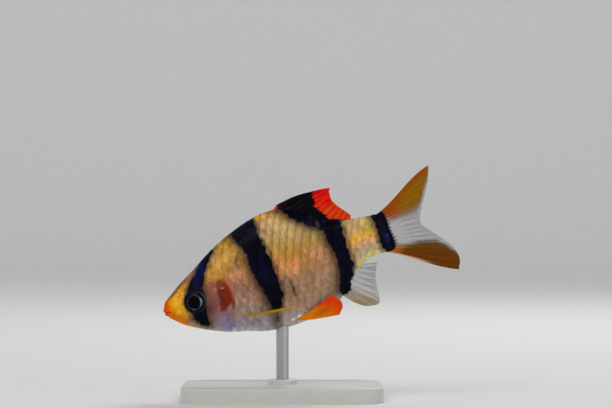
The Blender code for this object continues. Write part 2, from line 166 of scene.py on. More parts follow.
# Fins: root and rim of each, from the leading ray to the last
DORSAL_RAYS = 12
DORSAL_ROOT = (26.4, 41.1)
DORSAL_RIM = (
    (28.4, 12.2), (33.0, 12.55), (39.1, 11.85), (39.2, 11.1), (39.1, 10.2), (39.1, 9.3), (39.5, 8.4),
    (40.0, 7.5), (40.6, 6.7), (41.1, 5.95), (41.6, 5.15),
)
ANAL_RAYS = 9
ANAL_ROOT = (34.4, 39.9)
ANAL_RIM = (
    (36.4, -11.6), (38.3, -13.0), (40.7, -13.45), (41.5, -12.3), (41.6, -10.8), (41.8, -9.3),
    (42.2, -7.9), (42.8, -6.6), (43.4, -5.5),
)
CAUDAL_RAYS = 19
CAUDAL_ROOT = (
    (46.6, 4.05), (47.4, 4.0), (47.95, 3.2), (48.25, 1.6), (48.32, -0.2), (48.25, -2.0), (47.95, -3.6),
    (47.2, -4.5), (45.4, -4.5),
)
CAUDAL_RIM = (
    (59.7, 9.25), (59.2, 7.9), (58.1, 5.7), (56.8, 3.6), (55.4, 1.5), (54.3, -1.0), (55.4, -2.9),
    (57.0, -5.0), (58.6, -7.5), (59.3, -10.2), (58.4, -12.5),
)
CAUDAL_TURN_UPPER = 13.0
CAUDAL_TURN_LOWER = 9.0
PECTORAL_RAYS = 12
PECTORAL_ROOT = ((14.7, -6.0), (14.7, -7.2))
PECTORAL_RIM = (
    (25.1, -8.1, -7.8), (24.6, -6.9, -8.1), (23.4, -5.7, -8.4), (21.9, -4.8, -8.6), (20.2, -4.3, -8.7),
)
PECTORAL_STEM = 1.1
PELVIC_RAYS = 9
PELVIC_ROOT = ((24.3, -10.9), (25.7, -10.4))
PELVIC_RIM = (
    (32.8, -4.3, -12.6), (34.0, -4.4, -11.2), (33.7, -4.0, -9.7), (32.7, -3.5, -8.4),
)
PELVIC_STEM = 0.7
ROOT_SINK = 0.7
RAY_JOINTS = 26.0
RAY_JOINT_AT = 0.82
RAY_WIDTHS = (0.14, 0.07)
RAY_FORKS = (0.23, 0.11)

# Stand
BASE_SIZE = (40.0, 26.0, 3.0)
BASE_CORNER = 5.0
BASE_EDGE = 0.5
BOSS_RADIUS = 3.0
BOSS_HEIGHT = 1.0
ROD_RADIUS = 1.25
TURNED_SIDES = 96
STAND_CREASE_DEG = 35.0

# Backdrop, lights and camera, in metres. Each light has a name, place, size, power and colour
STAGE_RADIUS = 1.3
STAGE_BEND = 0.3
STAGE_HEIGHT = 0.45
STAGE_BENDS = 24
STAGE_GAP = 0.00002
MIDDLE = (0.0, 0.0, 0.03)
LIGHTS = (
    ("key", (-0.22, -0.42, 0.5), (0.45, 0.4), 1.5, (1.0, 0.97, 0.92)),
    ("fill", (0.5, -0.45, 0.18), (0.4, 0.4), 0.5, (0.93, 0.96, 1.0)),
    ("rim", (0.15, 0.35, 0.4), (0.3, 0.2), 1.0, (1.0, 1.0, 1.0)),
)
WALL_LIGHTS = 6
WALL_LIGHT_RADIUS = 0.75
WALL_LIGHT_HEIGHT = 0.8
WALL_LIGHT_SIZE = (0.6, 0.3)
WALL_LIGHT_POWER = 1.45
SKY_COLOR = (0.92, 0.95, 1.0, 1.0)
SKY_STRENGTH = 0.27
CAMERA_PLACE = (0.0047, -0.5, 0.039)
LENS = 147.06

# Random values: cells of their table each way, and the span that the shaders' noise mostly keeps to
CLOUD_CELLS = 64
NOISE_SPAN = (0.3, 0.7)


def lerp(a, b, t):
    return a + (b - a) * t


def smooth(t):
    t = np.clip(t, 0.0, 1.0)
    return t * t * (3.0 - 2.0 * t)


def ramp(value, start, end):
    """Rises smoothly from 0 where the value is at start to 1 where it is at end."""
    return smooth((value - start) / (end - start))


def bell(distance, width):
    """1 at distance 0, falling off to 0 over about twice the width."""
    return np.exp(-((distance / width) ** 2))


def through(points, u):
    """Points at u, from 0 to 1, on a smooth curve through evenly weighted points."""
    points = np.asarray(points)
    last = len(points) - 1
    place = np.clip(u, 0.0, 1.0) * last
    i = np.minimum(place.astype(int), last - 1)
    t = (place - i)[..., None]
    ends = np.vstack((2.0 * points[0] - points[1], points, 2.0 * points[-1] - points[-2]))
    p0, p1, p2, p3 = ends[i], ends[i + 1], ends[i + 2], ends[i + 3]
    bend = (2.0 * p0 - 5.0 * p1 + 4.0 * p2 - p3) * t * t + (3.0 * p1 - p0 - 3.0 * p2 + p3) * t ** 3
    return (2.0 * p1 + (p2 - p0) * t + bend) * 0.5


def cloud(x, z, size, seed):
    """Smooth random values from 0 to 1, in patches of about a size."""
    table = np.random.default_rng(seed).random((CLOUD_CELLS, CLOUD_CELLS))
    u, v = x / size + CLOUD_CELLS, z / size + CLOUD_CELLS
    i, j = np.floor(u).astype(int), np.floor(v).astype(int)
    a, b = smooth(u - i), smooth(v - j)
    i, next_i = i % CLOUD_CELLS, (i + 1) % CLOUD_CELLS
    j, next_j = j % CLOUD_CELLS, (j + 1) % CLOUD_CELLS
    return lerp(lerp(table[i, j], table[next_i, j], a), lerp(table[i, next_j], table[next_i, next_j], a), b)


def station(x):
    """Back, belly and half width at x, on smooth curves through the stations."""
    x = np.clip(x, STATIONS[0, 0], STATIONS[-1, 0])
    last = len(STATIONS) - 1
    i = np.clip(np.searchsorted(STATIONS[:, 0], x) - 1, 0, last - 1)
    a, b = STATIONS[i], STATIONS[i + 1]
    before, after = STATIONS[np.maximum(i - 1, 0)], STATIONS[np.minimum(i + 2, last)]
    span = b[..., 0] - a[..., 0]
    t = (x - a[..., 0]) / span
    values = []
    for k in (1, 2, 3):
        slope_a = (b[..., k] - before[..., k]) / (b[..., 0] - before[..., 0]) * span
        slope_b = (after[..., k] - a[..., k]) / (after[..., 0] - a[..., 0]) * span
        values.append(
            a[..., k] * (2 * t ** 3 - 3 * t ** 2 + 1) + slope_a * (t ** 3 - 2 * t ** 2 + t)
            + b[..., k] * (3 * t ** 2 - 2 * t ** 3) + slope_b * (t ** 3 - t ** 2)
        )
    return values


def section(x):
    """Back, belly, half width and height of the widest line at x, with the snout rounded off."""
    back, belly, half = station(x)
    near = np.clip(x / NOSE_ROUND, 0.0, 1.0)
    k = np.sqrt(near * (2.0 - near))
    back = NOSE_Z + (back - NOSE_Z) * k
    belly = NOSE_Z + (belly - NOSE_Z) * k
    return back, belly, half * k, lerp(belly, back, MID_SHARE)


def ring(x, angle):
    """Distance across and height of the body at x and at an angle from the top."""
    back, belly, half, mid = section(x)
    up, out = np.cos(angle), np.sin(angle)
    height = np.sign(up) * np.abs(up) ** (2.0 / FULLNESS)
    across = np.sign(out) * np.abs(out) ** (2.0 / FULLNESS)
    return half * across, mid + height * np.where(up > 0.0, back - mid, mid - belly)


def cover_edge(z):
    """Rear edge of the gill cover, carried on up to the nape and down to the throat."""
    rise = np.where(z > COVER_EDGE_Z, COVER_EDGE_RISE, COVER_EDGE_FALL)
    return COVER_EDGE_X - rise * (z - COVER_EDGE_Z) ** 2


def stalk_end(z):
    return STALK_END - STALK_END_CURVE * (z - STALK_END_Z) ** 2


def tail_thinning(x):
    """Share of its thickness that the body keeps at x, towards the root of the tail fin."""
    return 1.0 - THIN_SHARE * smooth((x - THIN_FROM) / THIN_LENGTH)


def mouth_line(x):
    return MOUTH_Z - MOUTH_SLOPE * np.maximum(x, 0.0)


def fish_to_world(points):
    """Points of the fish in millimetres as places in the world, in metres."""
    c, s = math.cos(math.radians(PITCH_DEG)), math.sin(math.radians(PITCH_DEG))
    x, y, z = np.asarray(points).reshape(-1, 3).T
    return np.column_stack((SNOUT_X + x * c - z * s, y, SNOUT_Z + x * s + z * c)) * MM


def arc_table():
    """Angles round the body for distances over it from the widest line, at places along the body."""
    angles = np.linspace(-0.5 * math.pi, 1.5 * math.pi, ARC_STEPS)
    middle = len(angles) // 2
    table = []
    for x in ARC_PLACES:
        y, z = ring(np.full(len(angles), x), angles)
        arc = np.concatenate(((0.0,), np.cumsum(np.hypot(np.diff(y), np.diff(z)))))
        table.append(np.interp(ARC_REACH, (arc[middle] - arc)[::-1], angles[::-1]))
    return np.array(table)


ARC_ANGLES = arc_table()


def arc_angle(x, arc):
    """Angle round the body at x and a distance over the skin up from the widest line."""
    u = (np.clip(x, ARC_PLACES[0], ARC_PLACES[-1]) - ARC_PLACES[0]) / (ARC_PLACES[1] - ARC_PLACES[0])
    v = (np.clip(arc, ARC_REACH[0], ARC_REACH[-1]) - ARC_REACH[0]) / (ARC_REACH[1] - ARC_REACH[0])
    i = np.minimum(u.astype(int), len(ARC_PLACES) - 2)
    j = np.minimum(v.astype(int), len(ARC_REACH) - 2)
    a, b = u - i, v - j
    low = lerp(ARC_ANGLES[i, j], ARC_ANGLES[i + 1, j], a)
    return lerp(low, lerp(ARC_ANGLES[i, j + 1], ARC_ANGLES[i + 1, j + 1], a), b)


def flank(x, arc, side):
    """Points of the plain body at x and a distance over the skin from the widest line."""
    y, z = ring(x, arc_angle(x, arc))
    return np.stack((x, side * y, z), axis=-1)


def flank_normal(x, arc, side):
    along = flank(x + STEP, arc, side) - flank(x - STEP, arc, side)
    up = flank(x, arc + STEP, side) - flank(x, arc - STEP, side)
    normal = np.cross(along, up) * -side
    return normal / np.linalg.norm(normal, axis=-1, keepdims=True)


def tone(red, green, blue):
    """A colour given by its values from 0 to 255, as light."""
    value = np.array((red, green, blue)) / 255.0
    return np.where(value < 0.04045, value / 12.92, ((value + 0.055) / 1.055) ** 2.4)


def mix(colors, tint, amount):
    return colors + (tint - colors) * np.clip(amount, 0.0, 1.0)[..., None]


def with_last(colors, value):
    """Colours with one more channel: the shine of the skin, or how opaque a fin is."""
    return np.concatenate((colors, np.broadcast_to(value, colors.shape[:-1])[..., None]), axis=-1)


def spot(x, z, center, size, lean=0.0):
    """A soft oval patch. Lean moves its upper part back."""
    up = z - center[1]
    return np.exp(-(((x - center[0] - lean * up) / size[0]) ** 2) - (up / size[1]) ** 2)


PEARL_PINK = tone(222, 170, 158)
PEARL_GREEN = tone(176, 164, 92)
BRIGHT_GOLD = tone(250, 196, 52)
STALK_PINK = tone(222, 186, 160)
SNOUT_RED = tone(236, 74, 6)
SNOUT_ORANGE = tone(234, 126, 4)
SNOUT_YELLOW = tone(250, 186, 40)
FOREHEAD_BROWN = tone(164, 108, 56)
RIM_BROWN = tone(156, 94, 62)
RIM_MAUVE = tone(146, 104, 96)
CROWN_OLIVE = tone(126, 100, 50)
CHIN_CREAM = tone(186, 162, 112)
GILL_RED = tone(130, 42, 22)
BAR_BLACK = tone(6, 8, 26)
BAR_FRINGE = tone(70, 44, 44)
SCALE_SHADE = tone(150, 128, 40)
IRIS_BLACK = tone(5, 6, 9)
IRIS_STREAK = tone(26, 34, 44)
PUPIL_BLACK = tone(2, 2, 4)
EYE_SILVER = tone(176, 186, 212)
EYE_OLIVE = tone(92, 86, 46)
EYE_PALE = tone(140, 134, 108)

# Edges of the four dark bars, as height and distance from the snout
BAR_EDGES = (
    (
        ((-5.9, 6.9), (-5.3, 6.2), (-4.7, 5.7), (-3.6, 5.3), (-2.4, 5.0), (0.0, 4.6), (2.5, 6.0), (3.7, 7.1),
         (4.8, 8.3), (5.8, 9.4), (6.5, 9.9), (7.2, 10.4), (8.0, 11.2)),
        ((-5.9, 7.6), (-5.6, 8.0), (-3.3, 8.2), (-1.0, 8.7), (1.4, 9.1), (2.9, 9.8), (4.4, 10.6), (5.9, 11.6),
         (7.4, 13.0), (8.0, 13.5)),
    ),
    (
        ((-9.3, 20.9), (-7.0, 20.5), (-4.5, 20.2), (-2.0, 19.9), (0.0, 19.3), (2.5, 19.1), (5.0, 19.3),
         (6.3, 19.1), (8.0, 18.2), (10.1, 17.7), (11.5, 17.4)),
        ((-9.3, 21.1), (-8.2, 21.5), (-7.2, 22.4), (-5.0, 23.6), (-2.5, 23.9), (-0.5, 23.7), (2.0, 23.8),
         (3.0, 23.5), (5.0, 23.5), (6.3, 23.3), (8.0, 23.0), (9.5, 23.2), (11.5, 23.0)),
    ),
    (
        ((-11.6, 36.0), (-8.3, 34.3), (-6.0, 35.2), (-4.0, 35.7), (-2.0, 36.0), (0.0, 35.8), (2.0, 35.3),
         (4.0, 35.4), (4.7, 34.6), (5.7, 33.3), (6.7, 32.1), (7.9, 30.8), (8.9, 29.7), (9.8, 29.4),
         (10.6, 28.8), (12.0, 28.2)),
        ((-11.4, 36.3), (-10.5, 36.4), (-9.0, 36.9), (-8.0, 37.3), (-6.0, 38.0), (-4.0, 38.9), (-1.0, 38.9),
         (1.0, 39.0), (4.0, 39.2), (5.0, 39.3), (12.0, 44.0)),
    ),
    (
        ((-4.6, 45.9), (-4.2, 45.6), (-3.0, 45.2), (-1.0, 45.3), (1.5, 45.4), (3.5, 45.2), (4.5, 44.9)),
        ((-4.6, 46.8), (-4.0, 47.2), (-2.5, 47.7), (-1.0, 48.1), (0.0, 48.0), (1.2, 48.3), (2.8, 47.8),
         (3.8, 47.4), (4.5, 47.2)),
    ),
)


def gradient(level, stops):
    """Colours along a row of stops. Each stop is a level and its tone."""
    levels = [stop[0] for stop in stops]
    tints = np.array([tone(*stop[1:]) for stop in stops])
    return np.stack([np.interp(level, levels, tints[:, k]) for k in range(3)], axis=-1)


def dab(colors, x, z, patches):
    """Soft oval patches: tone, place, half length and half height, strength and, if it leans, lean."""
    for tint, place, size, strength, *lean in patches:
        colors = mix(colors, tone(*tint), strength * spot(x, z, place, size, *lean))
    return colors


def to_segment(x, z, start, end):
    """Distance to the straight line from start to end."""
    (ax, az), (bx, bz) = start, end
    dx, dz = bx - ax, bz - az
    t = np.clip(((x - ax) * dx + (z - az) * dz) / (dx * dx + dz * dz), 0.0, 1.0)
    return np.hypot(x - ax - t * dx, z - az - t * dz)


def draw(colors, x, z, strokes):
    """Soft lines: tone, start, end, half width, strength."""
    for tint, start, end, width, strength in strokes:
        colors = mix(colors, tone(*tint), strength * bell(to_segment(x, z, start, end), width))
    return colors


def inside(x, z, outline):
    """Distance inside a closed outline, negative outside."""
    distance = np.full(np.shape(x), 99.0)
    within = np.zeros(np.shape(x), dtype=bool)
    for start, end in zip(outline, outline[1:] + outline[:1]):
        distance = np.minimum(distance, to_segment(x, z, start, end))
        rise = end[1] - start[1] or 1e-9
        crosses = (start[1] > z) != (end[1] > z)
        within ^= crosses & (x < start[0] + (z - start[1]) * (end[0] - start[0]) / rise)
    return np.where(within, distance, -distance)


# Tones from the belly (0) to the back (1): behind the head, on the flank and on the tail stalk. The palest
# tones at the belly's edge behind the head and on the flank are partly the silver of the belly, partly a
# painted reflection.
FRONT_STOPS = (
    (0.0, 214, 210, 214), (0.06, 176, 170, 178), (0.13, 164, 150, 164), (0.22, 168, 148, 132),
    (0.33, 164, 126, 106), (0.46, 168, 118, 102), (0.58, 194, 138, 92), (0.7, 198, 144, 66),
    (0.85, 202, 152, 62), (0.95, 198, 148, 52), (1.0, 158, 124, 54),
)
FLANK_STOPS = (
    (0.0, 206, 200, 198), (0.07, 176, 158, 150), (0.18, 168, 136, 104), (0.33, 174, 138, 106),
    (0.45, 184, 135, 90), (0.57, 202, 138, 66), (0.64, 198, 148, 68), (0.75, 190, 158, 96),
    (0.86, 200, 168, 122), (0.93, 202, 160, 102), (0.98, 186, 140, 68), (1.0, 158, 122, 60),
)
STALK_STOPS = (
    (0.0, 236, 222, 132), (0.07, 226, 208, 132), (0.14, 204, 186, 150), (0.28, 200, 170, 128),
    (0.42, 216, 164, 104), (0.5, 246, 184, 84), (0.6, 242, 180, 72), (0.7, 200, 166, 88),
    (0.88, 196, 168, 96), (0.96, 206, 180, 118), (1.0, 170, 142, 80),
)
# Tones of the cheek and gill cover by height; the palest, at the bottom, is partly the silver of the throat,
# partly a painted reflection
CHEEK_STOPS = (
    (-9.0, 214, 208, 206), (-8.2, 190, 182, 190), (-7.2, 158, 148, 172), (-6.0, 152, 130, 150),
    (-4.6, 152, 118, 128), (-3.0, 146, 98, 92), (-1.0, 150, 92, 78), (1.2, 160, 100, 80), (2.3, 192, 130, 70),
    (3.4, 206, 146, 56), (5.0, 210, 156, 64), (7.5, 208, 160, 66), (9.0, 190, 144, 50),
)

HEAD_PATCHES = (
    ((236, 150, 84), (4.2, 1.2), (0.8, 1.0), 0.6),
    ((190, 148, 40), (3.8, -1.7), (0.9, 0.9), 0.6),
    ((214, 140, 112), (11.1, 0.55), (0.45, 0.5), 0.7),
    ((146, 84, 118), (10.4, 1.9), (0.45, 0.35), 0.6),
    ((120, 62, 66), (9.5, -2.9), (1.1, 1.7), 0.7),
    ((104, 36, 44), (8.9, -3.0), (0.5, 1.0), 0.75),
    ((156, 104, 112), (10.4, -2.0), (0.3, 1.1), 0.45),
    ((158, 130, 168), (11.3, -5.3), (1.1, 0.6), 0.6),
    ((172, 118, 100), (13.0, -5.2), (1.0, 1.0), 0.7),
    ((118, 126, 178), (12.2, -7.7), (1.9, 0.7), 0.8),
    ((216, 208, 182), (8.6, -7.1), (1.0, 0.5), 0.7),
    ((136, 146, 166), (9.7, -6.3), (0.8, 0.6), 0.65),
    ((224, 170, 160), (14.4, -6.2), (0.8, 0.7), 0.65),
    ((232, 146, 44), (14.3, 2.7), (0.8, 0.6), 0.7),
    ((228, 150, 40), (12.6, 2.75), (0.9, 0.45), 0.7),
    ((132, 86, 14), (11.9, 5.0), (0.35, 0.75), 0.75, 0.5),
    ((150, 130, 88), (11.5, 3.75), (0.45, 0.35), 0.6),
)
HEAD_STROKES = (
    ((216, 146, 24), (4.3, 2.2), (6.2, 3.3), 0.34, 0.75),
    ((246, 188, 76), (5.7, 3.1), (6.35, 3.45), 0.24, 0.7),
    ((182, 144, 88), (13.1, -3.6), (12.3, -4.6), 0.28, 0.5),
    ((206, 160, 110), (14.1, -3.7), (13.6, -4.9), 0.24, 0.4),
    # Painted highlight along the rear edge of the gill cover
    ((246, 232, 180), (14.66, -2.1), (14.4, -3.8), 0.22, 0.85),
    ((176, 120, 128), (8.9, 1.2), (9.35, -0.6), 0.16, 0.5),
    ((196, 188, 160), (9.2, -0.4), (8.7, -2.0), 0.15, 0.5),
)
GILL_OUTLINE = (
    (11.75, 1.62), (12.15, 2.09), (13.1, 1.91), (13.94, 1.16), (14.31, 0.35), (14.52, -0.63), (14.6, -1.65),
    (14.55, -2.53), (14.22, -3.43), (13.63, -4.32), (13.13, -4.38), (13.44, -3.6), (13.12, -3.24),
    (12.23, -3.82), (11.49, -4.33), (10.7, -4.04), (10.95, -2.9), (11.37, -1.61), (11.5, -0.31), (11.7, 0.4),
    (11.58, 1.13),
)
# Tones of the gills seen through the cover; the last two patches are a painted shadow and a painted highlight
GILL_PATCHES = (
    ((150, 84, 24), (12.7, 1.55), (1.2, 0.5), 0.9),
    ((160, 104, 72), (12.3, 0.87), (0.7, 0.25), 0.6),
    ((88, 26, 14), (11.7, -1.93), (0.55, 1.0), 0.8),
    ((112, 34, 34), (12.25, -2.9), (0.6, 0.6), 0.7),
    ((104, 62, 44), (11.1, -3.5), (0.5, 0.7), 0.6),
    ((170, 84, 28), (14.2, -2.1), (0.4, 1.6), 0.85, 0.2),
    # Painted shadow under a painted highlight on the gills
    ((84, 24, 26), (12.5, -0.12), (0.5, 0.28), 0.8),
    ((206, 180, 172), (12.66, 0.28), (0.34, 0.13), 0.8),
)
BODY_PATCHES = (
    ((250, 164, 92), (27.2, -0.2), (2.1, 1.1), 0.8),
    ((246, 160, 96), (25.2, 1.8), (0.9, 1.0), 0.5),
    ((222, 166, 146), (34.2, 0.8), (1.5, 1.3), 0.5),
    ((222, 166, 140), (31.2, 1.6), (1.2, 0.5), 0.4),
    ((250, 186, 60), (23.7, 11.0), (0.9, 0.55), 0.95),
    ((246, 184, 70), (25.3, 10.9), (0.7, 0.4), 0.6),
    ((240, 176, 76), (28.9, 10.1), (0.6, 0.55), 0.8),
    ((84, 52, 30), (27.9, 10.75), (0.45, 0.28), 0.85),
    ((70, 72, 66), (26.2, 11.15), (0.28, 0.22), 0.85),
    ((126, 100, 56), (24.3, 7.9), (0.3, 0.7), 0.6, -0.2),
    ((232, 206, 160), (23.8, 6.4), (0.35, 1.0), 0.6, -0.3),
    ((104, 78, 52), (24.0, 8.1), (0.3, 0.5), 0.6),
    ((120, 76, 36), (24.1, 3.2), (0.4, 0.9), 0.7),
    ((112, 76, 48), (25.2, -1.9), (0.5, 0.45), 0.6, 0.3),
    ((112, 92, 84), (25.1, -4.8), (1.1, 2.3), 0.45),
    ((152, 104, 102), (15.6, 0.1), (1.0, 1.6), 0.5),
    ((196, 132, 118), (15.5, 1.0), (0.8, 0.7), 0.4),
    ((226, 176, 130), (17.8, 2.2), (0.6, 0.8), 0.4),
    ((220, 186, 140), (19.0, 5.5), (0.35, 0.8), 0.5, -0.4),
    ((206, 192, 206), (23.4, -9.3), (2.2, 0.8), 0.5),
    ((214, 124, 66), (14.6, 1.2), (0.9, 0.7), 0.6),
    ((200, 132, 76), (28.4, -9.1), (2.4, 0.6), 0.55),
    ((226, 196, 160), (16.0, -7.0), (0.7, 0.45), 0.6),
    ((238, 142, 84), (39.4, 0.3), (0.35, 1.1), 0.6),
    ((236, 156, 150), (39.45, -1.0), (0.3, 0.6), 0.5),
    ((96, 78, 70), (42.5, 3.5), (0.22, 0.16), 0.6),
    ((120, 74, 40), (44.0, 0.0), (0.3, 0.25), 0.6),
    # Two painted highlights: white glints low on the belly
    ((255, 255, 255), (23.8, -10.4), (0.4, 0.26), 1.0),
    ((255, 255, 255), (25.0, -10.2), (0.5, 0.26), 1.0),
)
BODY_STROKES = (
    ((190, 54, 48), (25.8, 11.6), (27.4, 11.4), 0.3, 0.9),
    ((112, 80, 52), (18.7, 6.3), (16.9, 4.4), 0.32, 0.5),
    ((112, 80, 58), (16.9, 4.4), (17.2, 2.8), 0.28, 0.5),
    ((54, 40, 52), (25.7, -2.9), (25.98, -4.5), 0.24, 0.75),
    ((44, 34, 44), (25.98, -4.5), (25.85, -6.1), 0.27, 0.85),
)
# Tones on the dark bars: painted sheen of blue and grey, with a few darker purple and brown tones
BAR_SHINE = (
    ((10, 28, 92), (9.1, 4.7), (1.4, 1.7), 0.9, 0.6),
    ((30, 18, 50), (8.1, 2.7), (1.2, 0.7), 0.8),
    ((14, 10, 34), (20.5, 8.6), (2.0, 1.6), 0.5),
    ((12, 18, 66), (21.6, 1.0), (0.8, 2.4), 0.5),
    ((11, 20, 66), (37.8, 1.3), (0.35, 0.6), 0.8),
    ((12, 20, 66), (38.55, -0.9), (0.25, 0.45), 0.9),
    ((9, 14, 50), (38.3, -2.9), (0.3, 0.7), 0.8),
    ((34, 22, 56), (34.0, 6.6), (2.0, 0.9), 0.8, -0.4),
    ((112, 100, 120), (34.7, 5.7), (0.18, 0.55), 0.7),
    ((66, 66, 76), (33.9, 7.7), (0.3, 0.12), 0.6),
    ((24, 34, 92), (36.6, 5.8), (0.9, 0.2), 0.7, -0.6),
    ((34, 22, 18), (46.5, 2.0), (0.7, 1.1), 0.5),
    ((24, 48, 132), (47.05, -1.15), (0.26, 0.4), 0.85),
    ((16, 34, 104), (46.9, -2.6), (0.4, 0.9), 0.8),
)


def edge_at(edge, z):
    """Distance from the snout of an edge at height z."""
    return np.interp(z, *np.array(edge).T)


def bar_depth(x, z):
    """Distance inside the nearest dark bar, negative outside."""
    depth = np.full(np.shape(x), -9.0)
    for front, rear in BAR_EDGES:
        within = np.minimum(x - edge_at(front, z), edge_at(rear, z) - x)
        depth = np.maximum(depth, np.minimum(within, z - front[0][0]))
    return depth


def snout_paint(colors, x, z):
    """Yellow before the eye, orange lips and chin, red at the tip, a pale line between the lips."""
    colors = mix(colors, SNOUT_YELLOW, ramp(x, 5.9, 4.3) * ramp(z, -3.6, -2.0))
    brow = smooth((z - 0.55 * x - 0.35) / 0.7) * ramp(x, 8.0, 6.5) * ramp(z, 1.2, 1.8)
    colors = mix(colors, FOREHEAD_BROWN, brow)
    orange = smooth((2.9 - x - 0.3 * z) / 1.7) + ramp(x, 4.6, 3.0) * ramp(z, -1.5, -2.6)
    colors = mix(colors, SNOUT_ORANGE, orange)
    colors = mix(colors, SNOUT_RED, smooth((2.0 - x + 0.12 * z) / 1.9) * ramp(z, -2.0, -0.8))
    line = bell(z - mouth_line(x), 0.1) * smooth((MOUTH_CORNER_X + 0.1 - x) / 0.3)
    return mix(colors, SNOUT_YELLOW, 0.7 * line)


def head_paint(x, z):
    """Orange snout, gold brow, pink cheek, red gills through the cover, silver and lilac throat."""
    colors = gradient(z + 0.5 * (cloud(x, z, 1.1, 19) - 0.5), CHEEK_STOPS)
    colors = mix(colors, CHIN_CREAM, ramp(x, 9.6, 7.0) * ramp(z, -3.4, -4.6))
    colors = snout_paint(colors, x, z)
    colors = dab(colors, x, z, HEAD_PATCHES)
    # Brown to mauve band along the top outline of the head: partly its own colour, partly painted sheen of
    # the light from above
    rim = section(x)[0] - z
    width = lerp(1.1, 1.5, ramp(x, 5.6, 6.8))
    edge = smooth((width - rim) / 0.7) * ramp(x, 1.2, 2.4) * ramp(x, 11.5, 10.0)
    colors = mix(colors, mix(RIM_BROWN, RIM_MAUVE, ramp(x, 4.5, 7.5)), 0.9 * edge)
    colors = mix(colors, CROWN_OLIVE, 0.8 * ramp(rim, 0.5, 0.05) * ramp(x, 3.0, 5.5))
    window = smooth((inside(x, z, GILL_OUTLINE) + 0.28 + 0.3 * (cloud(x, z, 0.5, 17) - 0.5)) / 0.6)
    colors = mix(colors, dab(GILL_RED, x, z, GILL_PATCHES), window)
    colors = draw(colors, x, z, HEAD_STROKES)
    behind_bar = x - edge_at(BAR_EDGES[0][1], z)
    beads = smooth((cloud(x, z, 0.55, 23) - 0.25) / 0.4) * ramp(z, 3.0, 3.6)
    return mix(colors, BRIGHT_GOLD, 0.85 * bell(behind_bar - 0.45, 0.34) * beads)


def body_paint(x, z):
    """Colour of skin and scales at a place on the flank, with its shine in the last channel."""
    back, belly, _, _ = section(x)
    haze = cloud(x, z, 1.7, 3) - 0.5
    level = (z - belly) / np.maximum(back - belly, 1e-9) + 0.05 * haze
    colors = mix(gradient(level, FRONT_STOPS), gradient(level, FLANK_STOPS), ramp(x, 16.5, 21.5))
    colors = mix(colors, gradient(level, STALK_STOPS), ramp(x, 38.3, 39.6))
    pearl = cloud(x, z, 0.9, 6)
    colors = mix(colors, PEARL_PINK, 0.3 * ramp(pearl, 0.55, 0.9))
    colors = mix(colors, PEARL_GREEN, 0.25 * ramp(pearl, 0.42, 0.07) * ramp(level, 0.4, 0.6))
    colors = mix(colors, head_paint(x, z), smooth((cover_edge(z) + 0.5 - x) / 1.0))
    colors = dab(colors, x, z, BODY_PATCHES)
    colors = draw(colors, x, z, BODY_STROKES)
    grain = 0.24 * haze + 0.26 * (cloud(x, z, 0.5, 5) - 0.5) + 0.18 * (cloud(x, z, 0.27, 28) - 0.5)
    grain = grain * (1.0 + 0.7 * ramp(x, 21.0, 17.0) * ramp(x, 14.5, 15.5))
    colors = colors * (1.0 + grain)[..., None]
    depth = bar_depth(x, z) + 0.34 * (cloud(x, z, 0.6, 8) - 0.5) + 0.2 * (cloud(x, z, 0.22, 9) - 0.5)
    for front, _ in BAR_EDGES[1:3]:
        ahead = edge_at(front, z) - x
        colors = colors * (1.0 - 0.5 * ramp(ahead, 2.6, 0.6) * smooth(ahead + 1.0))[..., None]
    black = ramp(depth, -0.3, 0.25)
    colors = mix(colors, BAR_FRINGE, 0.65 * bell(depth + 0.3, 0.42))
    # The dark bars, carrying the painted sheen of BAR_SHINE
    streaks = 0.55 + 0.45 * smooth((cloud(2.2 * x, 0.5 * z, 0.8, 12) - 0.35) / 0.3)
    colors = mix(colors, dab(BAR_BLACK, x, z, BAR_SHINE) * streaks[..., None], black)
    shine = (0.12 + 0.4 * ramp(level, 0.36, 0.0)) * (1.0 - black) * (1.0 - 0.8 * ramp(x, 8.0, 6.0))
    return with_last(colors, shine)


def mesh_object(name, points, faces, colors, made, sharp=None):
    """A smooth mesh with a colour at each point. Points are in metres."""
    mesh = bpy.data.meshes.new(name)
    mesh.from_pydata(np.asarray(points).tolist(), [], [[int(i) for i in face] for face in faces])
    if colors is not None:
        layer = mesh.attributes.new("paint", "FLOAT_COLOR", "POINT")
        layer.data.foreach_set("color", np.clip(colors, 0.0, 1.0).astype(np.float32).ravel())
    mesh.shade_smooth()
    if sharp:
        mesh.set_sharp_from_angle(angle=math.radians(sharp))
    mesh.materials.append(made)
    thing = bpy.data.objects.new(name, mesh)
    bpy.context.scene.collection.objects.link(thing)
    return thing


def dress(thing, slot, *nodes):
    """The piece moves with the body and stands for solids of the frame, which it hides. Its slot is not used.
    """
    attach(thing, BODY)
    if nodes:
        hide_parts(*nodes)


def outward_faces(thing):
    bm = bmesh.new()
    bm.from_mesh(thing.data)
    bmesh.ops.recalc_face_normals(bm, faces=bm.faces)
    bm.to_mesh(thing.data)
    bm.free()


def grid_faces(rows, columns, closed=False):
    """Four-sided faces over points kept row by row."""
    i, j = np.meshgrid(np.arange(rows - 1), np.arange(columns if closed else columns - 1), indexing="ij")
    n = (j + 1) % columns
    here, ahead = i * columns, (i + 1) * columns
    return np.stack((here + j, here + n, ahead + n, ahead + j), axis=-1).reshape(-1, 4)


def plate_faces(rows, columns):
    """Faces of a thin closed plate: a grid of points for its top, as many for its underside, and its rim."""
    count = rows * columns
    last = count - columns
    top = grid_faces(rows, columns)
    rim = np.concatenate((
        np.arange(columns), np.arange(2 * columns - 1, count, columns),
        np.arange(count - 2, last - 1, -1), np.arange(last - columns, 0, -columns),
    ))
    after = np.roll(rim, -1)
    return np.vstack((top, top[:, ::-1] + count, np.stack((after, rim, rim + count, after + count), axis=-1)))


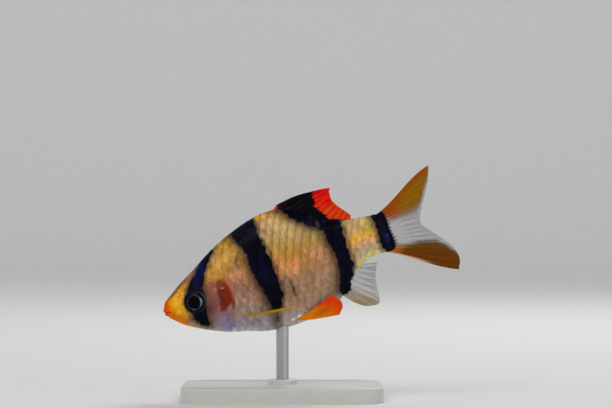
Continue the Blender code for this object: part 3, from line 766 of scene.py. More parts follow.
def fan(tip, start, count):
    """Three-sided faces between a tip and a closed ring of points."""
    return [(tip, start + (k + 1) % count, start + k) for k in range(count)]


def shader_material(name, **values):
    """A material with values for its shader's inputs. Underscores stand for spaces."""
    made = bpy.data.materials.new(name)
    made.use_nodes = True
    shader = made.node_tree.nodes["Principled BSDF"]
    for key, value in values.items():
        shader.inputs[key.replace("_", " ")].default_value = value
    return made, made.node_tree, shader


def add_node(tree, kind, **values):
    """A node with values for its inputs, or else for its settings."""
    node = tree.nodes.new(kind)
    for key, value in values.items():
        socket = key.replace("_", " ")
        if socket in node.inputs:
            node.inputs[socket].default_value = value
        else:
            setattr(node, key, value)
    return node


def noise_bump(tree, shader, size, strength, distance, stretch=(1.0, 1.0, 1.0)):
    """Fine unevenness, with grains of a size in metres."""
    place = add_node(tree, "ShaderNodeTexCoord")
    turn = add_node(tree, "ShaderNodeMapping", Scale=stretch)
    noise = add_node(tree, "ShaderNodeTexNoise", Scale=1.0 / size, Detail=4.0)
    bump = add_node(tree, "ShaderNodeBump", Strength=strength, Distance=distance)
    tree.links.new(place.outputs["Object"], turn.inputs["Vector"])
    tree.links.new(turn.outputs["Vector"], noise.inputs["Vector"])
    tree.links.new(noise.outputs["Fac"], bump.inputs["Height"])
    tree.links.new(bump.outputs["Normal"], shader.inputs["Normal"])
    return noise


def spread(tree, noise, low, high, start=0.0, end=1.0):
    """A noise's values from start to end, carried over to values from low to high."""
    node = add_node(tree, "ShaderNodeMapRange", From_Min=start, From_Max=end, To_Min=low, To_Max=high)
    tree.links.new(noise.outputs["Fac"], node.inputs["Value"])
    return node.outputs["Result"]


def mottle(tree, shader, noise, color, low, high):
    """The shader's colour, made a little darker and lighter by a noise."""
    scale = add_node(tree, "ShaderNodeVectorMath", operation="SCALE")
    tree.links.new(color, scale.inputs[0])
    tree.links.new(spread(tree, noise, low, high, *NOISE_SPAN), scale.inputs["Scale"])
    tree.links.new(scale.outputs["Vector"], shader.inputs["Base Color"])


def use_paint(tree, shader, noise, low, high):
    """The colours painted on the points, mottled. Gives their last channel."""
    paint = add_node(tree, "ShaderNodeAttribute", attribute_name="paint")
    mottle(tree, shader, noise, paint.outputs["Color"], low, high)
    return paint.outputs["Alpha"]


def use_tone(tree, shader, noise, tint, low, high):
    """One tone, mottled."""
    source = add_node(tree, "ShaderNodeRGB")
    source.outputs["Color"].default_value = (*tone(*tint), 1.0)
    mottle(tree, shader, noise, source.outputs["Color"], low, high)


def skin_material():
    """Wet skin and scales: painted colour, some of it silvery, under a clear coat."""
    made, tree, shader = shader_material(
        "wet_skin", Coat_Weight=0.04, Coat_Roughness=0.08, Specular_IOR_Level=0.04, IOR=1.4)
    noise = noise_bump(tree, shader, 0.00028, 0.25, 0.00004)
    shine = use_paint(tree, shader, noise, 0.9, 1.1)
    tree.links.new(shine, shader.inputs["Metallic"])
    tree.links.new(spread(tree, noise, 0.28, 0.5), shader.inputs["Roughness"])
    return made


def mouth_relief(x, z):
    """Lips with a fold beyond them, the slit of the mouth and the crease behind its corner."""
    level = z - mouth_line(x)
    fade = 1.0 - ramp(x, 0.9, 1.8)
    height = np.zeros_like(x)
    for offset, swell, width in LIPS:
        height += swell * fade * (bell(level - offset, width) + bell(level + offset, width))
    corner = 1.0 - smooth((x - MOUTH_CORNER_X + 0.2) / 0.4)
    height -= MOUTH_DEPTH * smooth((0.5 * MOUTH_OPEN + 0.05 - np.abs(level)) / 0.1) * corner
    jaw = mouth_line(x) - 0.55 - 0.55 * (x - MOUTH_CORNER_X)
    return height - 0.09 * bell(z - jaw, 0.13) * ramp(x, 0.9, 1.2) * ramp(x, 3.4, 2.6)


def eye_relief(x, z):
    """Nostrils, the eye's socket in a soft rim, and the fold that goes round the cheek below it."""
    height = np.zeros_like(x)
    for px, pz, radius in NOSTRILS:
        away = np.hypot(x - px, z - pz)
        height += 0.04 * bell(away - radius - 0.12, 0.09)
        height -= NOSTRIL_DEPTH * smooth((radius + 0.05 - away) / 0.12)
    away = np.hypot(x - EYE_X, z - EYE_Z)
    height += 0.13 * bell(away - 2.62, 0.2) - 0.04 * bell(away - 3.05, 0.15)
    height -= SOCKET_DEPTH * smooth((SOCKET_RADIUS - away) / 0.16)
    cheek = np.hypot(x - CHEEK_X, z - CHEEK_Z)
    turn = np.degrees(np.arctan2(z - CHEEK_Z, x - CHEEK_X))
    window = ramp(turn, -120.0, -100.0) * ramp(turn, 52.0, 37.0)
    folds = 0.09 * bell(cheek - 4.0, 0.3) - 0.12 * bell(cheek - 4.35, 0.12) - 0.04 * bell(cheek - 3.45, 0.1)
    return height + window * folds


def cover_relief(x, z):
    """The gill cover's plate, the slit behind it, the seam across it and the folds of the throat."""
    behind = x - cover_edge(z)
    plate = smooth((x - COVER_X + COVER_HALF_LENGTH) / COVER_HALF_LENGTH) * smooth(-behind / 0.08 + 0.5)
    tall = 1.0 - smooth((np.abs(z - COVER_Z) - 0.6 * COVER_HALF_HEIGHT) / (0.5 * COVER_HALF_HEIGHT))
    height = COVER_SWELL * plate * tall - 0.12 * ramp(z, 2.6, 1.1) * bell(behind - 0.12, 0.12)
    before = smooth(-behind / 0.4)
    seam = -4.9 - 0.22 * (x - 10.0)
    height -= 0.1 * bell(z - seam, 0.11) * ramp(x, 9.6, 10.4) * before
    for k in range(3):
        fold = -7.0 - 0.42 * k - 0.32 * (x - 9.5)
        height -= 0.06 * bell(z - fold, 0.09) * ramp(x, 7.4, 8.6) * before
    return height


def relief(x, z):
    """Height of the skin's own forms over the plain body. It lies lower where scales cover it."""
    scaled = smooth((x - cover_edge(z)) / lerp(0.25, 2.2, ramp(z, 2.2, 3.7)))
    return mouth_relief(x, z) + eye_relief(x, z) + cover_relief(x, z) - SCALE_DEPTH * scaled


def make_skin(made):
    """One closed skin from the snout's tip to the root of the tail fin."""
    nominal = np.concatenate([np.arange(*stretch) for stretch in SKIN_RINGS] + [(STALK_END,)])
    angle = 2.0 * math.pi * np.arange(SKIN_AROUND) / SKIN_AROUND
    along, angle = np.meshgrid(nominal, angle, indexing="ij")
    near_cover = np.clip(1.0 - ((along - COVER_EDGE_X) / COVER_BEND) ** 2, 0.0, 1.0) ** 2
    near_end = ramp(along, *STALK_BEND)
    z = np.zeros_like(along)
    for _ in range(SKIN_PASSES):
        x = along + near_cover * (cover_edge(z) - COVER_EDGE_X) + near_end * (stalk_end(z) - STALK_END)
        y, z = ring(x, angle)
    points = np.stack((x, y, z), axis=-1)
    ahead = np.gradient(points, axis=0)
    around = np.roll(points, -1, axis=1) - np.roll(points, 1, axis=1)
    normal = np.cross(around, ahead)
    normal = normal / np.maximum(np.linalg.norm(normal, axis=-1, keepdims=True), 1e-9)
    middle = np.stack((x, np.zeros_like(y), section(x)[3]), axis=-1)
    outward = np.sign(np.sum(normal * (points - middle), axis=-1, keepdims=True))
    points = points + normal * outward * relief(x, z)[..., None]
    points[..., 1] *= tail_thinning(along)
    flat = points.reshape(-1, 3)
    colors = body_paint(flat[:, 0], flat[:, 2])
    tip, last = len(flat), len(flat) - SKIN_AROUND
    flat = np.vstack((flat, (points[0, :, 0].min() - 0.01, 0.0, NOSE_Z)))
    colors = np.vstack((colors, colors[:1]))
    faces = grid_faces(len(nominal), SKIN_AROUND, closed=True).tolist() + fan(tip, 0, SKIN_AROUND)
    for k in range(SKIN_AROUND // 2):
        face = [k, k + 1, (SKIN_AROUND - k - 1) % SKIN_AROUND, (SKIN_AROUND - k) % SKIN_AROUND]
        faces.append([last + v for i, v in enumerate(face) if v not in face[:i]])
    skin = mesh_object("skin", fish_to_world(flat), faces, colors, made)
    outward_faces(skin)
    dress(skin, "skin", "head", "gill_cover_left", "gill_cover_right", "trunk", "tail_stalk")
    return skin


def narrowed(sizes, x):
    """A size of the scales at x, which goes from one on the flank to one on the tail stalk."""
    start, end = SCALE_NARROWS
    return lerp(sizes[0], sizes[1], smooth((x - start) / (end - start)))


def scale_seats():
    """Middle of each scale's free edge: distance from the snout, and over the skin from the widest line."""
    places = [SCALE_FIRST]
    while places[-1] < SCALE_LAST:
        places.append(places[-1] + narrowed(SCALE_PITCH, places[-1]))
    seats = []
    for row in range(-SCALE_ROWS, SCALE_ROWS + 1):
        for k in range(len(places) - 1):
            x = np.interp(k + 0.5 * (row % 2), np.arange(len(places)), places)
            arc = row * narrowed(SCALE_ROW, x)
            angle = float(arc_angle(np.array([x]), np.array([arc]))[0])
            z = float(ring(np.array([x]), np.array([angle]))[1][0])
            on_flank = RIDGE_MARGIN < angle < math.pi - RIDGE_MARGIN
            if on_flank and cover_edge(z) + COVER_MARGIN <= x <= stalk_end(z) - STALK_MARGIN:
                seats.append((x, arc))
    return np.array(seats)


def scale_paint(x, z, x0, a, b, light):
    """The skin's colour at each scale, darker towards its free edge, more so high on the flank, with a paler
    band before that edge that is partly painted sheen.
    """
    colors = body_paint(lerp(x, x0 - 0.45 * narrowed(SCALE_PITCH, x0), 0.3), z)
    colors[..., :3] *= light[..., None]
    lower_half = 0.22 + 0.78 * ramp(a, 0.25, -0.25)
    level = (z + HALF_HEIGHT) / (2.0 * HALF_HEIGHT)
    shade = 0.42 * ramp(b, 0.66, 0.96) * lower_half * (0.35 + 0.65 * ramp(level, 0.35, 0.6))
    shade = shade * (0.45 + 0.55 * ramp(x0, 20.0, 24.0)) * (1.0 - 0.4 * ramp(x0, 39.0, 41.0))
    colors[..., :3] = mix(colors[..., :3], colors[..., :3] * SCALE_SHADE * 1.4, shade)
    # Paler band before each scale's free edge: partly the scale's own colour, partly painted sheen
    colors[..., :3] *= (1.0 + 0.16 * bell(b - 0.68, 0.13))[..., None]
    return colors


def make_scales(name, side, seats, made, seed):
    """Overlapping scales as one mesh: each is a thin plate with a round free edge, tucked in at its front."""
    rng = np.random.default_rng(seed)
    count = len(seats)
    along, across = np.linspace(0.0, 1.0, SCALE_ALONG), np.linspace(-1.0, 1.0, SCALE_ACROSS)
    b, a = np.meshgrid(along, across, indexing="ij")
    x0, arc0 = seats.T[:, :, None, None]
    pitch = narrowed(SCALE_PITCH, x0)
    half = SCALE_HALF_WIDTH * narrowed(SCALE_ROW, x0) * (1.0 + 0.05 * rng.standard_normal((count, 1, 1)))
    wave = 0.03 * np.sin(7.0 * a + 6.0 * rng.random((count, 1, 1)))
    rear = -SCALE_ROUND * pitch * (1.0 - np.sqrt(1.0 - (0.985 * a) ** 2)) + wave * pitch
    front = np.minimum(-SCALE_LENGTH * pitch * (1.0 - 0.12 * a ** 2), rear - 0.25)
    x = x0 + lerp(front, rear, b)
    arc = arc0 + a * half + 0.06 * rng.standard_normal((count, 1, 1))
    share = (x - x0) / (SCALE_LENGTH * pitch) + 1.0
    lift = lerp(-SCALE_DEPTH - SCALE_TUCK, SCALE_LIFT, share) + SCALE_SWELL * (1.0 - a * a) * smooth(3.0 * b)
    x = np.minimum(x, SCALE_REAR_LIMIT)
    normal = flank_normal(x, arc, side)
    top = flank(x, arc, side) + normal * lift[..., None]
    top[..., 1] *= tail_thinning(x)
    bottom = top - normal * (SCALE_THICK * (1.0 - 0.4 * b))[..., None]
    colors = scale_paint(x, top[..., 2], x0, a, b, 1.0 + 0.07 * rng.standard_normal((count, 1, 1)))
    points = np.stack((top, bottom), axis=1)
    paints = np.stack((colors, colors), axis=1)
    plate = plate_faces(SCALE_ALONG, SCALE_ACROSS)
    if side > 0:
        plate = plate[:, ::-1]
    faces = (plate[None] + 2 * a.size * np.arange(count)[:, None, None]).reshape(-1, 4)
    points, paints = fish_to_world(points), paints.reshape(-1, 4)
    thing = mesh_object(name, points, faces.tolist(), paints, made, sharp=SCALE_CREASE_DEG)
    bake_map(thing, seats, np.tile(np.stack((b.ravel(), a.ravel()), axis=-1), (2, 1)))
    dress(thing, "skin")


def bake_map(thing, seats, patch):
    """The OFBake map: each scale is a small patch at its seat on the unrolled skin."""
    root = seats / MAP_SPAN + (0.0, 0.5)
    places = (root[:, None, :] + MAP_PATCH * (patch[None] * (1.0, 0.5) - (0.5, 0.0))).reshape(-1, 2)
    mesh = thing.data
    corners = np.empty(len(mesh.loops), dtype=np.int32)
    mesh.loops.foreach_get("vertex_index", corners)
    layer = mesh.uv_layers.new(name="OFBake")
    layer.data.foreach_set("uv", places[corners].astype(np.float32).ravel())


def ridge_seats():
    """Scales that lie astride the back and the belly: seats whose distance is that of the ridge."""
    seats = []
    for ridge, start, end in RIDGES:
        for x in np.arange(start, end, RIDGE_PITCH):
            i = int(np.interp(x, ARC_PLACES, np.arange(len(ARC_PLACES))))
            seats.append((x, np.interp(-ridge, -ARC_ANGLES[i], ARC_REACH)))
    return np.array(seats)


def facing(angle, toward, width):
    """1 in one direction round the eye, falling off to both sides of it."""
    return bell(np.angle(np.exp(1j * (angle - toward))), width)


def eye_paint(radius, angle):
    """Black pupil in a thin broken silver ring, a black iris and an olive rim that pales towards the tail."""
    around = np.cos(angle), np.sin(angle)
    streaks = cloud(*around, 0.09, 50)
    colors = mix(IRIS_BLACK, IRIS_STREAK, 0.7 * streaks * bell(radius - 1.72, 0.3))
    rear, low = facing(angle, -0.2, 0.6), facing(angle, -2.1, 0.28)
    bright = (0.1 + 0.9 * np.maximum(rear, 0.45 * low)) * (0.55 + 0.45 * ramp(streaks, 0.2, 0.6))
    uneven = 0.05 * (cloud(*around, 0.3, 51) - 0.5)
    silver = bell(radius - SILVER_RING + uneven, lerp(0.07, 0.14, rear))
    colors = mix(colors, EYE_SILVER, silver * bright)
    colors = mix(colors, PUPIL_BLACK, smooth((PUPIL + 0.06 - radius) / 0.08))
    warm = 0.5 + 0.5 * np.cos(angle + 0.2)
    rim = mix(EYE_OLIVE, EYE_PALE, 0.7 * warm ** 2)
    sides = np.maximum(facing(angle, 0.0, 0.85), 0.8 * facing(angle, 2.97, 0.6))
    colors = mix(colors, rim, smooth((radius - IRIS + 0.06) / 0.22) * (0.14 + 0.62 * sides))
    return with_last(colors, 1.0)


def eye_material():
    made, tree, shader = shader_material(
        "eye", Roughness=0.3, Coat_Weight=0.07, Coat_Roughness=0.03, Specular_IOR_Level=0.02)
    use_paint(tree, shader, noise_bump(tree, shader, 0.00025, 0.12, 0.00002), 0.88, 1.12)
    return made


def make_eyes():
    made = eye_material()
    lean = np.linspace(0.0, math.pi, 2 * EYE_RINGS + 1)[1:-1]
    around = 2.0 * math.pi * np.arange(EYE_AROUND) / EYE_AROUND
    lean, around = np.meshgrid(lean, around, indexing="ij")
    radius = (EYE_RADIUS - EYE_GAP) * np.sin(lean)
    depth = EYE_HALF_DEPTH * np.cos(lean)
    depth = depth + EYE_BULGE * smooth(depth / 0.3) * smooth((IRIS - radius) / IRIS)
    depth = np.append(depth, (EYE_HALF_DEPTH + EYE_BULGE, -EYE_HALF_DEPTH))
    ahead, up = np.append(radius * np.cos(around), (0.0, 0.0)), np.append(radius * np.sin(around), (0.0, 0.0))
    dark = with_last(np.tile(tone(4, 4, 6), (2, 1)), 1.0)
    colors = np.vstack((eye_paint(radius, around).reshape(-1, 4), dark))
    faces = grid_faces(len(lean), EYE_AROUND, closed=True).tolist() + fan(lean.size, 0, EYE_AROUND)
    faces += [face[::-1] for face in fan(lean.size + 1, lean.size - EYE_AROUND, EYE_AROUND)]
    for side, word in SIDES:
        turn = math.radians(side * EYE_TURN_DEG)
        c, s = math.cos(turn), math.sin(turn)
        across = side * depth
        points = np.column_stack((ahead * c - across * s, ahead * s + across * c, up))
        points = points + (EYE_X, side * EYE_Y, EYE_Z)
        eye = mesh_object("eyeball_" + word, fish_to_world(points), faces, colors, made)
        outward_faces(eye)
        dress(eye, "eye", "eye_" + word)


def fin_material(name, light_through):
    """Thin wet fin: painted colour, clear where its last channel is low, with light through it."""
    made, tree, shader = shader_material(
        name, Roughness=0.5, Coat_Weight=0.04, Specular_IOR_Level=0.05, Subsurface_Weight=light_through,
        Subsurface_Radius=(1.0, 0.6, 0.35), Subsurface_Scale=0.0006, IOR=1.38)
    alpha = use_paint(tree, shader, noise_bump(tree, shader, 0.0002, 0.2, 0.00003), 0.88, 1.12)
    tree.links.new(alpha, shader.inputs["Alpha"])
    return made


def ray_ridges(u, t, rays, split_at, again_at):
    """Height from 0 to 1 of the jointed rays, which fork twice on the way to the rim."""
    place = u * (rays - 1)
    ray = np.round(place)
    first, second = RAY_FORKS[0] * ramp(t, split_at, 1.0), RAY_FORKS[1] * ramp(t, again_at, 1.0)
    width = lerp(*RAY_WIDTHS, smooth(t))
    height = np.zeros_like(place)
    for twig in (-first - second, -first + second, first - second, first + second):
        height = np.maximum(height, bell(place - ray - twig, width))
    joints = np.sin(2.0 * math.pi * RAY_JOINTS * t + 1.7 * ray) > RAY_JOINT_AT
    return height * (1.0 - 0.25 * ramp(t, 0.25, 0.35) * joints)


def make_fin(name, ray_point, rays, painter, made, slot, node, side=None, rows=110, gap_steps=12,
             membrane=0.07, ridge=0.07, root=0.34, split_at=0.3, again_at=0.62, ripple=0.12, fringe=0.015):
    """A thin fin: a membrane with forked, jointed rays on both faces, closed by its rim."""
    columns = (rays - 1) * gap_steps + 1
    u, t = np.meshgrid(np.linspace(0.0, 1.0, columns), np.linspace(0.0, 1.0, rows + 1), indexing="ij")
    rise = ray_ridges(u, t, rays, split_at, again_at)
    frill = 1.0 - fringe * (1.0 - ray_ridges(u, np.ones_like(t), rays, split_at, again_at))
    middle = ray_point(u, t * frill)
    if side is None:
        normal = np.broadcast_to(np.array((0.0, 1.0, 0.0)), middle.shape)
    else:
        normal = np.cross(np.gradient(middle, axis=0), np.gradient(middle, axis=1))
        normal = normal / np.maximum(np.linalg.norm(normal, axis=-1, keepdims=True), 1e-9)
    fold = ripple * (0.4 * t * np.cos(math.pi * u * (rays - 1)) + smooth(t) * np.sin(9.0 * u + 2.5 * t))
    middle = middle + normal * fold[..., None]
    half = lerp(root, membrane, smooth(3.2 * t))
    half = half + ridge * rise * (0.25 + 0.75 * smooth(3.0 * t)) * (1.0 - 0.5 * t)
    edge = np.minimum(np.minimum(u, 1.0 - u) * columns / 3.0, (1.0 - t) * 40.0)
    half = (half * (0.35 + 0.65 * smooth(edge + 0.15)))[..., None]
    points = np.stack((middle + normal * half, middle - normal * half))
    colors = np.tile(painter(u, t, middle[..., 0], middle[..., 2], rise).reshape(-1, 4), (2, 1))
    thing = mesh_object(name, fish_to_world(points), plate_faces(*u.shape).tolist(), colors, made)
    outward_faces(thing)
    dress(thing, slot, node)


def bezier(p0, p1, p2, p3, t):
    t = t[..., None]
    s = 1.0 - t
    return p0 * s ** 3 + p1 * 3 * s * s * t + p2 * 3 * s * t * t + p3 * t ** 3


def turned(vector, degrees):
    """Vectors of the middle plane, turned from the tail towards the back."""
    angle = np.radians(degrees)
    c, s = np.cos(angle), np.sin(angle)
    x, z = vector[..., 0], vector[..., 2]
    return np.stack((x * c - z * s, vector[..., 1], x * s + z * c), axis=-1)


def bent_ray(root, tip, t, start_turn, end_turn):
    """A ray in the middle plane, from root to tip, whose ends turn by angles in degrees."""
    chord = tip - root
    return bezier(root, root + turned(chord, start_turn) / 3.0, tip - turned(chord, end_turn) / 3.0, tip, t)


def in_plane(x, z):
    return np.stack((x, np.zeros_like(x), z), axis=-1)


def plane_curve(points, u):
    """Points at u, from 0 to 1, on a smooth curve in the middle plane."""
    curve = through(points, u)
    return in_plane(curve[..., 0], curve[..., 1])


def dorsal_ray(u, t):
    x = lerp(*DORSAL_ROOT, u)
    root = in_plane(x, section(x)[0] - ROOT_SINK)
    return bent_ray(root, plane_curve(DORSAL_RIM, u), t, 6.0 * smooth(4.0 * u), 0.0)


def anal_ray(u, t):
    x = lerp(*ANAL_ROOT, u)
    root = in_plane(x, section(x)[1] + ROOT_SINK)
    return bent_ray(root, plane_curve(ANAL_RIM, u), t, -8.0, 0.0)


def caudal_ray(u, t):
    root, tip = plane_curve(CAUDAL_ROOT, u), plane_curve(CAUDAL_RIM, u)
    turn = lerp(-CAUDAL_TURN_UPPER, CAUDAL_TURN_LOWER, u)
    chord = tip - root
    root = root - turned(chord, turn) / np.linalg.norm(chord, axis=-1, keepdims=True) * 1.2
    root[..., 2] *= 0.86
    return bent_ray(root, tip, t, turn, turn)


def paired_ray(root_ends, rim_points, stem, side):
    """Rays of a paired fin, which leave the flank square and then sweep back."""
    def ray_point(u, t):
        x, z = (lerp(start, end, u) for start, end in zip(*root_ends))
        root = at_height(x, z, side)
        normal = np.cross(at_height(x + STEP, z, side) - root, at_height(x, z + STEP, side) - root)
        normal = normal * np.sign(normal[..., 1:2]) * side
        normal = normal / np.linalg.norm(normal, axis=-1, keepdims=True)
        first = root + normal * stem
        tip = through(rim_points, u) * (1.0, -side, 1.0)
        return bezier(root - normal * 0.5, first, tip - (tip - first) * 0.45, tip, t)
    return ray_point


def at_height(x, z, side):
    """The point of one flank at x and height z."""
    back, belly, half, mid = section(x)
    reach = np.where(z > mid, back - mid, mid - belly)
    share = np.minimum(np.abs(z - mid) / reach, 0.9999)
    return np.stack((x, side * half * (1.0 - share ** FULLNESS) ** (1.0 / FULLNESS), z), axis=-1)


FIN_RED = tone(250, 10, 4)
FIN_ORANGE = tone(246, 70, 2)
FIN_PINK = tone(232, 62, 62)
FIN_PURPLE = tone(34, 14, 40)
FIN_BLACK = tone(4, 4, 12)
FIN_GREY = tone(70, 62, 66)
AMBER = tone(164, 78, 2)
AMBER_DARK = tone(112, 62, 2)
OLIVE = tone(152, 106, 2)
OLIVE_DARK = tone(108, 74, 4)
ROOT_GOLD = tone(184, 102, 10)
CLEAR_GREY = tone(122, 114, 116)
CLEAR_LILAC = tone(128, 114, 128)
CLEAR_OLIVE = tone(150, 122, 56)
RAY_WHITE = tone(228, 224, 226)
PELVIC_AMBER = tone(228, 148, 14)
PELVIC_ORANGE = tone(252, 138, 4)
PELVIC_RED = tone(250, 64, 2)
PELVIC_BROWN = tone(140, 62, 4)
PECTORAL_RAY = tone(200, 146, 4)
PECTORAL_BROWN = tone(176, 96, 8)
PECTORAL_WEB = tone(196, 178, 14)
PECTORAL_PALE = tone(190, 178, 168)
DORSAL_LIMIT = (
    (4.4, 41.3), (5.0, 39.6), (5.4, 38.6), (6.0, 37.3), (7.0, 36.9), (8.0, 36.2), (9.3, 35.5), (10.0, 35.7),
    (13.0, 35.9),
)
UPPER_LOBE = ((48.0, 51.0, 54.0, 56.0, 60.0), (1.9, 1.8, 2.0, 2.9, 4.4))
LOWER_LOBE = ((47.8, 50.0, 53.0, 56.0, 58.5, 60.0), (-3.2, -3.8, -4.1, -5.2, -7.6, -9.6))


def dorsal_paint(u, t, x, z, rise):
    """Black with a toothed limit to the red outer part, and a red leading edge low and high."""
    tooth = 0.55 * (cloud(u * 46.0, t * 2.0, 1.0, 20) - 0.5) + 0.3 * (rise - 0.5)
    red = smooth((x - edge_at(DORSAL_LIMIT, z) - tooth + 0.1) / 0.4)
    colors = mix(FIN_BLACK, FIN_PURPLE, 0.8 * ramp(u, 0.09, 0.03))
    # Lighter grey along the rays of the black part: partly their own colour, partly painted highlight
    colors = mix(colors, FIN_GREY, 0.16 * ramp(rise, 0.4, 0.8) * cloud(u * 20.0, t * 4.0, 1.0, 26))
    flecks = smooth((cloud(u * 30.0, t * 3.0, 1.0, 24) - 0.5) / 0.3) * ramp(z, 11.5, 8.5)
    outer = mix(FIN_ORANGE, FIN_RED, ramp(z, 7.2, 9.4) - 0.6 * flecks)
    dark = ramp(rise, 0.35, 0.75) * smooth((cloud(u * 24.0, t * 5.0, 1.0, 21) - 0.1) / 0.4)
    colors = mix(colors, outer * (1.0 - 0.55 * dark)[..., None], red)
    lead = ramp(u, 0.05, 0.03) * np.maximum(ramp(x, 33.6, 34.4), ramp(x, 28.6, 28.0))
    back_line = ramp(x, 28.3, 27.7) * ramp(t, 0.55, 0.75)
    colors = mix(colors, FIN_PINK, np.maximum(lead, 0.9 * back_line))
    return with_last(colors, 1.0 - 0.12 * red * ramp(rise, 0.3, 0.0))


def anal_paint(u, t, x, z, rise):
    """Clear lilac-grey web, painted white highlights at the roots of the rays, olive-gold low at the front.
    """
    low = ramp(u, 0.5, 0.2)
    colors = mix(CLEAR_GREY, CLEAR_LILAC, 0.7 * ramp(u, 0.5, 0.8))
    colors = mix(colors, CLEAR_OLIVE, ramp(u, 0.45, 0.2) * ramp(t, 0.12, 0.42))
    colors = mix(colors, RAY_WHITE, 0.45 * rise * ramp(t, 0.7, 0.3))
    # Painted highlights where the rays leave the black base
    root_highlight = bell(t - 0.16 - 0.1 * low, 0.05) * smooth((cloud(9.0 * u, t, 0.8, 22) - 0.3) / 0.3)
    colors = mix(colors, RAY_WHITE, rise * root_highlight)
    base = smooth((0.09 + 0.11 * low + 0.04 * rise - t) / 0.05)
    colors = mix(colors, FIN_BLACK, base * ramp(u, 0.75, 0.65))
    alpha = 0.14 + 0.48 * rise * (1.0 - 0.5 * t) + 0.34 * ramp(u, 0.4, 0.2)
    return with_last(colors, np.clip(np.maximum(alpha, base), 0.0, 1.0))


def caudal_paint(u, t, x, z, rise):
    """Amber lobes, brown at their leading edges, with a clear middle and hind margin."""
    streaky = 0.6 * (cloud(u * 60.0, t * 3.0, 1.0, 31) - 0.5) - 0.25 * rise
    upper = smooth((z - np.interp(x, *UPPER_LOBE) + streaky + 1.5) / 2.6)
    lower = smooth((np.interp(x, *LOWER_LOBE) - z + streaky + 0.6) / 1.8)
    margin = ramp(t, 0.9, 0.98) * smooth((np.minimum(u, 1.0 - u) - 0.06) / 0.2)
    colors = mix(CLEAR_GREY, RAY_WHITE, 0.8 * rise * ramp(t, 0.75, 0.15))
    # Grey lines beside the rays towards the root
    colors = mix(colors, FIN_GREY, 0.5 * bell(rise - 0.3, 0.12) * ramp(t, 0.8, 0.4))
    colors = mix(colors, mix(OLIVE, AMBER, ramp(u, 0.16, 0.02) + ramp(t, 0.6, 0.2)), upper)
    amber = mix(mix(AMBER_DARK, OLIVE_DARK, ramp(u, 0.9, 0.75)), ROOT_GOLD, ramp(t, 0.3, 0.16))
    colors = mix(colors, amber, lower)
    colors = mix(colors, CLEAR_GREY, 0.85 * margin ** 2)
    colors = mix(colors, STALK_PINK, 0.85 * ramp(u, 0.97, 0.99) * ramp(t, 0.75, 0.45))
    colors = colors * (1.0 - 0.2 * ramp(rise, 0.4, 0.8) * np.maximum(upper, lower))[..., None]
    colors = mix(colors, BAR_BLACK, ramp(t, 0.135, 0.105))
    tinted = np.maximum(upper, lower) * (1.0 - margin)
    alpha = np.clip(0.17 + 0.42 * rise * (1.0 - 0.55 * t) + 0.76 * tinted, 0.0, 0.96)
    return with_last(colors, np.maximum(alpha, ramp(t, 0.2, 0.12)))


def pectoral_paint(u, t, x, z, rise):
    """A gold-brown first ray and a clear web, yellow-green close behind it."""
    lead = ramp(u, 0.12, 0.04)
    colors = mix(PECTORAL_WEB, PECTORAL_PALE, ramp(u, 0.35, 0.65))
    ray = mix(PECTORAL_RAY, PECTORAL_BROWN, bell(t - 0.42, 0.16))
    colors = mix(colors, ray, np.maximum(lead, 0.35 * rise))
    colors = mix(colors, body_paint(x, z)[..., :3], ramp(t, 0.26, 0.14) * (1.0 - 0.8 * lead))
    web = 0.4 * ramp(u, 0.5, 0.2) + 0.05
    alpha = web + 0.16 * rise * (1.0 - 0.6 * u) * ramp(t, 0.15, 0.3) + 0.7 * lead
    return with_last(colors, np.clip(np.maximum(alpha, 0.8 * ramp(t, 0.2, 0.08)), 0.0, 1.0))


def pelvic_paint(u, t, x, z, rise):
    """Amber at the root, orange, then orange-red at the tip, with a brown smear along the middle."""
    colors = mix(PELVIC_AMBER, PELVIC_ORANGE, ramp(t, 0.1, 0.4))
    colors = mix(colors, PELVIC_RED, smooth((t + 0.3 * u - 0.72) / 0.4))
    colors = mix(colors, PELVIC_BROWN, 0.55 * bell(u - 0.45, 0.2) * bell(t - 0.66, 0.16))
    dark = ramp(rise, 0.4, 0.8) * (0.4 + 0.6 * cloud(x, z, 0.7, 25))
    colors = colors * (1.0 - 0.3 * dark)[..., None]
    return with_last(colors, 0.97 - 0.12 * ramp(rise, 0.3, 0.0) * t)


def make_fins():
    opaque, clear = fin_material("red_fin", 0.35), fin_material("clear_fin", 0.3)
    make_fin("dorsal_sail", dorsal_ray, DORSAL_RAYS, dorsal_paint, opaque, "dorsal_fin", "dorsal_fin")
    make_fin("anal_sail", anal_ray, ANAL_RAYS, anal_paint, clear, "anal_fin", "anal_fin", ripple=0.07)
    make_fin("tail_sail", caudal_ray, CAUDAL_RAYS, caudal_paint, clear, "caudal_fin", "caudal_fin",
             gap_steps=10, root=0.3)
    for side, word in SIDES:
        pectoral = paired_ray(PECTORAL_ROOT, PECTORAL_RIM, PECTORAL_STEM, side)
        make_fin("pectoral_sail_" + word, pectoral, PECTORAL_RAYS, pectoral_paint, clear, "pectoral_fin",
                 "pectoral_fin_" + word, side=side, rows=80, root=0.26, ripple=0.05, ridge=0.045)
        pelvic = paired_ray(PELVIC_ROOT, PELVIC_RIM, PELVIC_STEM, side)
        make_fin("pelvic_sail_" + word, pelvic, PELVIC_RAYS, pelvic_paint, opaque, "pelvic_fin",
                 "pelvic_fin_" + word, side=side, rows=80, root=0.28, ripple=0.06)


def painted_metal():
    """Satin paint with a faint orange-peel surface."""
    made, tree, shader = shader_material("satin_paint", Roughness=0.42, Coat_Weight=0.15, Coat_Roughness=0.3)
    use_tone(tree, shader, noise_bump(tree, shader, 0.0006, 0.08, 0.00005), (206, 206, 202), 0.97, 1.03)
    return made


